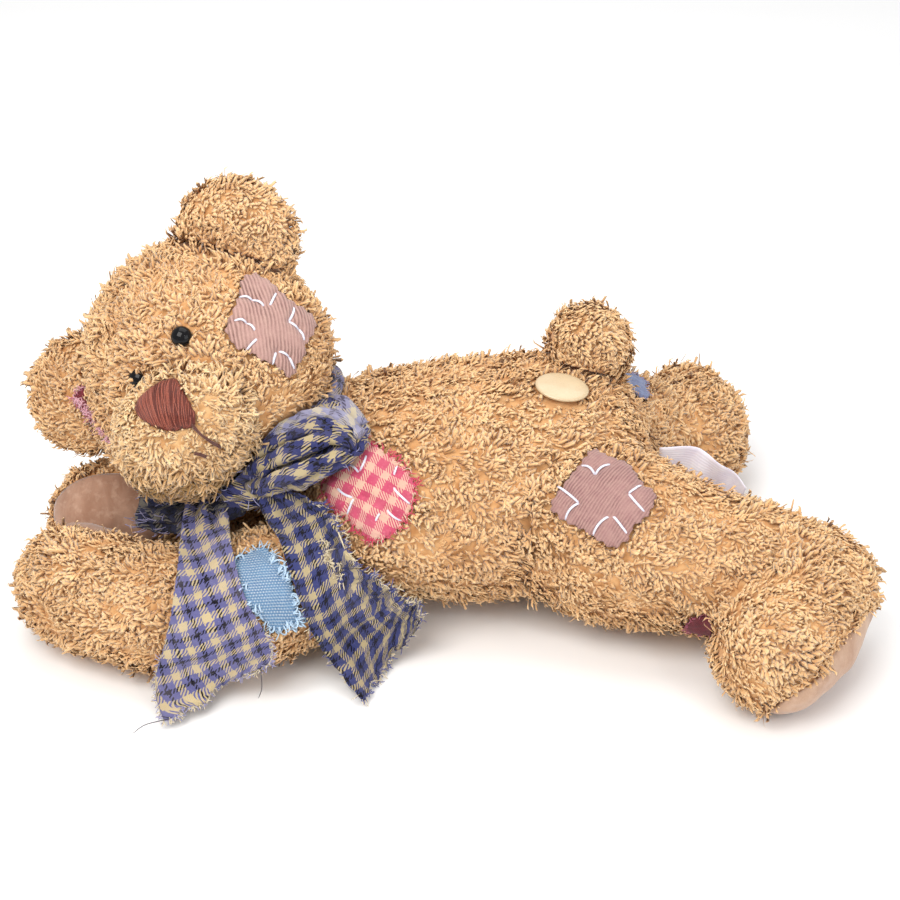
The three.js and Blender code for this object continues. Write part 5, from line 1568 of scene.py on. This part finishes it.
        lines.append([a - o * 0.3, a + d * L * 0.5 + o * 0.4, a + d * L + rng.normal(0, 0.3, 3)])
    k4 = threads("scarf_chin_fray", lines, 0.16, LAVENDER_THREAD)
    OBSTACLES.extend([left, right, loop, hem, behind, chin, band, band2, knot, g1, g2])


scarf()


def obstacle_tree():
    V, F, n = [], [], 0
    for o in OBSTACLES:
        me = o.data
        co = np.empty(len(me.vertices) * 3, np.float32)
        me.vertices.foreach_get("co", co)
        me.calc_loop_triangles()
        tri = np.empty(len(me.loop_triangles) * 3, np.int32)
        me.loop_triangles.foreach_get("vertices", tri)
        V.append(co.reshape(-1, 3))
        F.append(tri.reshape(-1, 3) + n)
        n += len(me.vertices)
    return BVHTree.FromPolygons(np.concatenate(V).tolist(), np.concatenate(F).tolist())


# ------------------------------------------------------------------ plush
def plush_material(name, dark, light, olive=0.0):
    """Colour from the strip alone: x runs from a lock's root to its tip and darkens towards the root as painted shade;
    y is the lock's tone, which also carries painted light and shade.
    """
    m = Mat(name, roughness=0.92, specular=0.12)
    m.bsdf.inputs["Sheen Weight"].default_value = 0.3
    m.bsdf.inputs["Sheen Roughness"].default_value = 0.45
    x, y, _ = m.split(m.uv("OFBake"))
    # Both ramps darken towards each lock's root: painted shade deep in the pile.
    a = m.ramp(x, [(0.0, dark[0]), (0.32, dark[1]), (0.7, dark[2]), (1.0, dark[3])])
    b = m.ramp(x, [(0.0, light[0]), (0.3, light[1]), (0.68, light[2]), (1.0, light[3])])
    tone = m.mix(m.level(y, 0.08, 0.92), a, b)
    # Low tone, set mostly where the muzzle faces down, is darkened and tinted olive: painted shade under the chin.
    tone = m.mix(m.level(y, 0.03, 0.17, 0.75, 0.0), tone, m.mix(1.0, tone, srgb(176, 168, 140), "MULTIPLY"))
    fibre = m.noise(m.joined(m.math("MULTIPLY", x, 2.2), m.math("MULTIPLY", y, 260.0)), 1.0, 2.0, 0.6, dims="2D")
    m.colour(m.mix(m.level(fibre, 0.3, 0.72, 0.0, 0.34), tone, m.mix(0.55, tone, (0.1, 0.042, 0.012, 1)), "MIX"))
    return m.mat


FUR = plush_material(
    "plush",
    [srgb(178, 121, 73), srgb(200, 147, 96), srgb(214, 165, 113), srgb(223, 179, 129)],
    [srgb(199, 142, 90), srgb(231, 183, 129), srgb(246, 206, 154), srgb(254, 223, 180)])
MUZZLE_FUR = plush_material(
    "muzzle_plush",
    [srgb(172, 122, 76), srgb(199, 154, 104), srgb(218, 176, 125), srgb(233, 198, 149)],
    [srgb(204, 150, 98), srgb(234, 190, 137), srgb(249, 216, 166), srgb(255, 231, 193)])

ALL_FIELDS = {
    "torso": F_TORSO, "head": F_HEAD, "muzzle": F_MUZZLE, "left_ear": F_LEFT_EAR, "right_ear": F_RIGHT_EAR,
    "left_arm": F_LEFT_ARM, "right_arm": F_RIGHT_ARM, "left_leg": F_LEFT_LEG, "right_leg": F_RIGHT_LEG,
    "tail": F_TAIL}
TOUCHING = {
    "torso": ["head", "left_arm", "right_arm", "left_leg", "right_leg", "tail"],
    "head": ["torso", "muzzle", "left_ear", "right_ear", "left_arm", "right_arm"],
    "muzzle": ["head", "right_arm", "left_arm"], "left_ear": ["head"], "right_ear": ["head"],
    "left_arm": ["torso", "head", "right_arm"], "right_arm": ["torso", "head", "muzzle", "left_arm"],
    "left_leg": ["torso", "right_leg"], "right_leg": ["torso", "left_leg"], "tail": ["torso"]}
BIG = waves(3, 42.0)
SWIRL = waves(4, 20.0)
SWIRL2 = waves(8, 8.5)
TONE = waves(5, 13.0)
LIFT = waves(6, 16.0)
CLUMP = waves(9, 6.5, count=16)


def slope(f, p, h=0.35):
    g = np.stack([(f(p + e) - f(p - e)) / (2 * h) for e in np.eye(3) * h], -1)
    return g



def spread_roots(name, field, per_mm2, spacing, rng, level):
    T = node_triangles(name)
    n = np.cross(T[:, 1] - T[:, 0], T[:, 2] - T[:, 0])
    area = 0.5 * np.linalg.norm(n, axis=1)
    count = int(area.sum() * per_mm2)
    pick = rng.choice(len(T), count, p=area / area.sum())
    u, v = rng.random(count), rng.random(count)
    flip = u + v > 1
    u[flip], v[flip] = 1 - u[flip], 1 - v[flip]
    P = T[pick, 0] + u[:, None] * (T[pick, 1] - T[pick, 0]) + v[:, None] * (T[pick, 2] - T[pick, 0])
    P = P[np.abs(field(P)) < 5.0]
    for shift in (0.0, 0.5):
        cell = np.floor(P / spacing + shift).astype(np.int64)
        key = cell[:, 0] * 73856093 ^ cell[:, 1] * 19349663 ^ cell[:, 2] * 83492791
        _, first = np.unique(key, return_index=True)
        P = P[np.sort(first)]
    near = solid_tree(TOUCHING[name])
    ok = np.array([near.find_nearest(Vector(p), 0.9)[0] is None for p in P.tolist()])
    P = P[ok]
    seam = np.zeros(len(P))
    for i, p in enumerate(P.tolist()):
        hit = near.find_nearest(Vector(p), 7.0)
        if hit[0] is not None:
            seam[i] = math.exp(-(hit[3] / 3.2) ** 2)
    return P, seam


def turned_by(t, n, angle):
    return t * np.cos(angle)[:, None] + np.cross(n, t) * np.sin(angle)[:, None]


def tangent(n, way):
    way = np.broadcast_to(np.asarray(way, float), n.shape)
    return unit(way - (way * n).sum(-1, keepdims=True) * n)


def locks(P, n, t, rng, length, width, lift, curl, thick, tone, steps=2):
    """Spindles in the shape of flat curly locks: a root, two rings of three, and a tip."""
    m = len(P)
    c0 = P - n * 1.5
    t1, t2 = turned_by(t, n, curl * 0.55), turned_by(t, n, curl * 1.25)
    c1 = P + t * (length * 0.26)[:, None] + n * (lift * 0.35)[:, None]
    c2 = c1 + t1 * (length * 0.42)[:, None] + n * (lift * 0.5)[:, None]
    c3 = c2 + t2 * (length * 0.24)[:, None] + n * (lift * 0.05)[:, None]
    s1, s2 = np.cross(n, unit(t + t1)), np.cross(n, unit(t1 + t2))
    w1, w2 = width[:, None], (width * rng.uniform(0.72, 1.0, m))[:, None]
    h1, h2 = thick[:, None], (thick * 0.8)[:, None]
    ring1 = [c1 + s1 * w1 - n * h1 * 0.35, c1 - s1 * w1 - n * h1 * 0.35, c1 + n * h1 * 0.65]
    ring2 = [c2 + s2 * w2 - n * h2 * 0.35, c2 - s2 * w2 - n * h2 * 0.35, c2 + n * h2 * 0.65]
    V = np.stack([c0, *ring1, *ring2, c3], 1)
    V[..., 2] = np.maximum(V[..., 2], 0.35)
    face = np.array([(0, 2, 1), (0, 3, 2), (0, 1, 3),
                     (1, 2, 5), (1, 5, 4), (2, 3, 6), (2, 6, 5), (3, 1, 4), (3, 4, 6),
                     (4, 5, 7), (5, 6, 7), (6, 4, 7)])
    F = (np.arange(m)[:, None, None] * 8 + face).reshape(-1, 3)
    u = np.array([0.02, 0.34, 0.34, 0.36, 0.68, 0.68, 0.7, 0.985])
    dv = np.array([0.0, -0.011, 0.011, 0.001, -0.009, 0.009, -0.001, 0.0])
    U = np.stack([np.broadcast_to(u, (m, 8)), np.clip(tone[:, None] + dv, 0.012, 0.988)], -1)
    return V.reshape(-1, 3), F, U.reshape(-1, 2), c1, c2, c3


def spikes(P, n, t, rng, length, width, lift, curl, thick, tone):
    """Plainer tufts for the gaps between locks: a root, one ring of three, and a tip."""
    m = len(P)
    t1, t2 = turned_by(t, n, curl * 0.3), turned_by(t, n, curl)
    c0 = P - n * 1.5
    c1 = P + t1 * (length * 0.48)[:, None] + n * (lift * 0.75)[:, None]
    c2 = c1 + t2 * (length * 0.42)[:, None] + n * (lift * 0.1)[:, None]
    s1 = np.cross(n, unit(t1 + t2))
    w, h = width[:, None], thick[:, None]
    V = np.stack([c0, c1 + s1 * w - n * h * 0.35, c1 - s1 * w - n * h * 0.35, c1 + n * h * 0.65, c2], 1)
    V[..., 2] = np.maximum(V[..., 2], 0.35)
    face = np.array([(0, 2, 1), (0, 3, 2), (0, 1, 3), (1, 2, 4), (2, 3, 4), (3, 1, 4)])
    F = (np.arange(m)[:, None, None] * 5 + face).reshape(-1, 3)
    u = np.array([0.02, 0.5, 0.5, 0.54, 0.985])
    dv = np.array([0.0, -0.009, 0.009, 0.001, 0.0])
    U = np.stack([np.broadcast_to(u, (m, 5)), np.clip(tone[:, None] + dv, 0.012, 0.988)], -1)
    return V.reshape(-1, 3), F, U.reshape(-1, 2)


SET = 1.2


def skin_of(name, voxel=0.0022, sink=1.35):
    """A closed inner skin for a plush section, a little inside its solid."""
    src = NODES[name]
    me = src.data.copy()
    tmp = bpy.data.objects.new("tmp_" + name, me)
    scene.collection.objects.link(tmp)
    tmp.matrix_world = src.matrix_world.copy()
    mod = tmp.modifiers.new("remesh", "REMESH")
    mod.mode = "VOXEL"
    mod.voxel_size = voxel
    mod.adaptivity = 0
    dg = bpy.context.evaluated_depsgraph_get()
    dg.update()
    ev = tmp.evaluated_get(dg)
    out = ev.to_mesh()
    co = np.empty(len(out.vertices) * 3, np.float32)
    out.vertices.foreach_get("co", co)
    no = np.empty(len(out.vertices) * 3, np.float32)
    out.vertices.foreach_get("normal", no)
    out.calc_loop_triangles()
    tri = np.empty(len(out.loop_triangles) * 3, np.int32)
    out.loop_triangles.foreach_get("vertices", tri)
    m = np.array(tmp.matrix_world)
    co = (co.reshape(-1, 3) @ m[:3, :3].T + m[:3, 3]) * 1000 - SHIFT
    no = unit(no.reshape(-1, 3) @ m[:3, :3].T)
    tri = tri.reshape(-1, 3)
    ev.to_mesh_clear()
    bpy.data.objects.remove(tmp)
    bpy.data.meshes.remove(me)
    # even the voxels out, then draw the surface in
    edge = np.concatenate([tri[:, [0, 1]], tri[:, [1, 2]], tri[:, [2, 0]]])
    for _ in range(3):
        acc, cnt = np.zeros_like(co), np.zeros(len(co))
        np.add.at(acc, edge[:, 0], co[edge[:, 1]])
        np.add.at(cnt, edge[:, 0], 1)
        co = co * 0.4 + 0.6 * acc / np.maximum(cnt, 1)[:, None]
    co = co - no * sink * 0.8
    co[:, 2] = np.maximum(co[:, 2], 0.6)
    return co, tri


def build_fur(name, comb, per_mm2, spacing, length, width, lift, tone_at, material, obstacles,
              extra_skip=None, drop=None, grow=None, swirl=55, voxel=0.0022, seed=0, strays=0.03, top=196000):
    field = ALL_FIELDS[name]
    rng = np.random.default_rng(100 + seed)
    P, seam = spread_roots(name, field, per_mm2, spacing, rng, 0.0)
    n = gradient(field, P)
    ok = ~((n[:, 2] < -0.7) & (P[:, 2] < 5)) & ~((n[:, 2] < -0.9) & (P[:, 2] < 30))
    if extra_skip is not None:
        ok &= ~extra_skip(P)
    P, n, seam = P[ok], n[ok], seam[ok]
    P = P - n * (SET + (drop(P, n) if drop is not None else 0.0) * np.ones(len(P)))[:, None]
    t = tangent(n, comb(P, n))
    a = np.radians(swirl * (0.6 * SWIRL(P) + 0.45 * SWIRL2(P)) + 32 * rng.normal(size=len(P)))
    t = turned_by(t, n, a)
    bunch = CLUMP(P)
    lean = slope(CLUMP, P)
    lean = lean / (np.linalg.norm(lean, axis=1).mean() + 1e-9)
    t = tangent(n, t + lean * 0.35 + n * 0.01)
    P = P + n * (0.25 * np.clip(bunch, -1.4, 1.4))[:, None]
    L = length * rng.uniform(0.7, 1.3, len(P)) * (1 + 0.3 * seam)
    if grow is not None:
        L = L * grow(P, n)
    W = width * rng.uniform(0.75, 1.25, len(P))
    H = lift * np.clip(1.05 + 0.4 * LIFT(P) + 0.25 * bunch + rng.normal(0, 0.3, len(P)), 0.35, 2.1) * (1 + 0.7 * seam)
    curl = np.radians(np.clip(40 * SWIRL2(P + 7.0) + rng.normal(0, 46, len(P)), -115, 115))
    wild = rng.random(len(P)) < 0.14
    H[wild] *= rng.uniform(1.5, 2.3, wild.sum())
    thin = rng.random(len(P)) < 0.07
    W[thin] *= 0.4
    H[thin] += 1.7
    keep = np.ones(len(P), bool)
    if obstacles is not None:
        scale = 0.001
        for i in range(len(P)):
            root = Vector(((P[i] - n[i] * 1.5 + SHIFT) * scale).tolist())
            hit = obstacles.ray_cast(root, Vector(n[i].tolist()), 0.0065)
            if hit[0] is not None:
                if hit[3] < 0.0046:
                    keep[i] = False
                    continue
                H[i] = 0.35
                L[i] *= 0.75
                curl[i] *= 0.4
            close = obstacles.find_nearest(root, 0.0042)
            if close[0] is not None:
                spin = rng.uniform(-math.pi, math.pi)
                t[i] = t[i] * math.cos(spin) + np.cross(n[i], t[i]) * math.sin(spin)
                L[i] *= 0.72
                H[i] *= 1.2 if hit[0] is None else 1.0
            for attempt in range(3):
                d = t[i] * (L[i] * 0.9) + n[i] * (H[i] + 1.5)
                far = float(np.linalg.norm(d))
                hit = obstacles.ray_cast(root, Vector((d / far).tolist()), far * scale + 0.0006)
                if hit[0] is None:
                    break
                if attempt == 0:
                    if hit[3] / scale > far * 0.72:
                        L[i] *= 0.62
                        curl[i] *= 0.5
                    else:
                        t[i] = -t[i]
                elif attempt == 1:
                    L[i] *= 0.55
                    H[i] *= 1.1
                else:
                    keep[i] = False
    P, n, t, L, W, H, curl = (q[keep] for q in (P, n, t, L, W, H, curl))
    co, tri = skin_of(name, voxel)
    room = top - len(tri)
    if len(P) * 12 > room:
        pick = np.sort(rng.permutation(len(P))[:int(room / 12)])
        P, n, t, L, W, H, curl = (q[pick] for q in (P, n, t, L, W, H, curl))
    tone = np.clip(tone_at(P, n) + 0.09 * CLUMP(P) + rng.normal(0, 0.1, len(P)), 0.03, 0.97)
    plain = rng.random(len(P)) < 0.48
    full = ~plain
    V, F, U, *_ = locks(P[full], n[full], t[full], rng, L[full], W[full] * 0.88, H[full], curl[full], W[full] * 0.6, tone[full])
    V2, F2, U2 = spikes(P[plain], n[plain], t[plain], rng, L[plain], W[plain] * 0.88, H[plain], curl[plain], W[plain] * 0.6, tone[plain])
    F = np.concatenate([F, F2 + len(V)])
    V = np.concatenate([V, V2])
    U = np.concatenate([U, U2])
    pile = Pile()
    r2 = np.random.default_rng(seed + 900)
    # The skin takes colours from the root half of the strip: painted shade between the locks.
    pile.add(co, tri, np.stack([r2.uniform(0.03, 0.5, len(co)), r2.uniform(0.2, 0.7, len(co))], -1))
    pile.add(V, F, U)
    obj = pile.mesh(name + "_plush", bake=True)
    dress(obj, material)
    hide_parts(name)
    print(f"{name}: {len(P)} locks, {len(tri)} skin triangles")
    return obj


# ------------------------------------------------------------------ the coat
# The tone is lighter on locks that face up, painted light from above, and darker within 14 mm of the floor, painted
# shade; the rest varies at random.
def tone_with_painted_light(P, n):
    return 0.6 + 0.13 * TONE(P) + 0.07 * BIG(P) + 0.1 * n[:, 2] - 0.22 * np.clip((14 - P[:, 2]) / 14, 0, 1)


def comb_head(P, n):
    out = P - on_head(-6, -22, 40)
    return out * 0.02 + np.array([-0.2, 0.1, -0.15])


def comb_muzzle(P, n):
    out = P - np.array([-102.5, -73.6, 110.3])
    return unit(out) * 0.9 + np.array([0.45, 0, -0.2]) + np.array([-0.7, -0.2, -0.9]) * np.clip(-n[:, 2:] * 1.6, 0, 1)


def chin_drop(P, n):
    return 0.3 * np.clip(-n[:, 2] * 1.6, 0, 1)


def cheek_drop(P, n):
    return 0.5 * np.clip(n[:, 0] * 1.2, 0, 1) * np.clip(0.7 - n[:, 2], 0, 1)


def chin_grow(P, n):
    return 1 + 0.5 * np.clip(-n[:, 2] * 1.5 + 0.15, 0, 1)


# Darker where the muzzle faces down: painted shade under the chin.
def muzzle_tone(P, n):
    return tone_with_painted_light(P, n) + 0.06 - 0.75 * np.clip(-n[:, 2] * 1.4 + 0.1, 0, 1)


def eyes_clear(P):
    out = np.zeros(len(P), bool)
    for name, reach in (("left_eye", 3.0), ("right_eye", 1.2)):
        at, _, _, z = EYE_FRAMES[name]
        q = P - at
        h = q @ z
        out |= (np.linalg.norm(q - h[:, None] * z, axis=1) < reach) & (np.abs(h) < 6)
    return out


OBST = obstacle_tree()
DROPS = {"muzzle": chin_drop, "head": cheek_drop}
jobs = [
    ("torso", lambda P, n: np.array([1.0, 0.0, -0.12]), 4.0, 1.28, 4.9, 0.9, 1.3, tone_with_painted_light, FUR, "plush"),
    ("head", comb_head, 4.5, 1.2, 4.7, 0.86, 1.4, tone_with_painted_light, FUR, "plush"),
    ("muzzle", comb_muzzle, 5.0, 1.12, 5.2, 0.74, 1.2, muzzle_tone, MUZZLE_FUR, "muzzle_plush"),
    ("left_ear", lambda P, n: np.array([1.0, -0.1, 0.1]), 4.5, 1.15, 4.4, 0.84, 1.2, tone_with_painted_light, FUR, "plush"),
    ("right_ear", lambda P, n: np.array([-0.7, -0.1, 0.3]), 4.5, 1.15, 4.4, 0.84, 1.2, tone_with_painted_light, FUR, "plush"),
    ("left_arm", lambda P, n: np.array([-1.0, 0.0, -0.1]), 4.5, 1.2, 4.7, 0.88, 1.3, tone_with_painted_light, FUR, "plush"),
    ("right_arm", lambda P, n: np.array([-1.0, 0.0, -0.1]), 4.5, 1.3, 4.7, 0.88, 1.3, tone_with_painted_light, FUR, "plush"),
    ("left_leg", lambda P, n: np.array([1.0, -0.1, -0.1]), 4.5, 1.22, 4.9, 0.9, 1.35, tone_with_painted_light, FUR, "plush"),
    ("right_leg", lambda P, n: np.array([1.0, 0.2, -0.1]), 4.5, 1.3, 4.7, 0.88, 1.3, tone_with_painted_light, FUR, "plush"),
    ("tail", lambda P, n: np.array([0.6, -0.3, 0.2]), 4.5, 1.15, 4.4, 0.84, 1.3, lambda P, n: tone_with_painted_light(P, n) + 0.18, FUR, "plush"),
]
for k, (name, comb, dens, gap, L, W, H, tone, mat, slot) in enumerate(jobs):
    build_fur(name, comb, dens, gap, L, W, H, tone, mat, OBST, seed=k,
              extra_skip=eyes_clear if name in ("head", "muzzle") else None, drop=DROPS.get(name), grow=chin_grow if name == "muzzle" else None)


# ------------------------------------------------------------------ floor
floor = make_mesh("floor", np.array([[-30000, -30000, 0], [30000, -30000, 0], [30000, 30000, 0], [-30000, 30000, 0]], float),
                  [(0, 1, 2, 3)], np.array([[0, 0], [1, 0], [1, 1], [0, 1]], float), smooth=False)
fm = Mat("floor", roughness=0.8, specular=0.2)
fm.colour(fm.mix(fm.level(fm.noise(fm.coords(), 3.0), 0.3, 0.7), (0.9, 0.9, 0.9, 1), (0.93, 0.93, 0.93, 1)))
floor.data.materials.append(fm.mat)

low, high = CAD_BOX
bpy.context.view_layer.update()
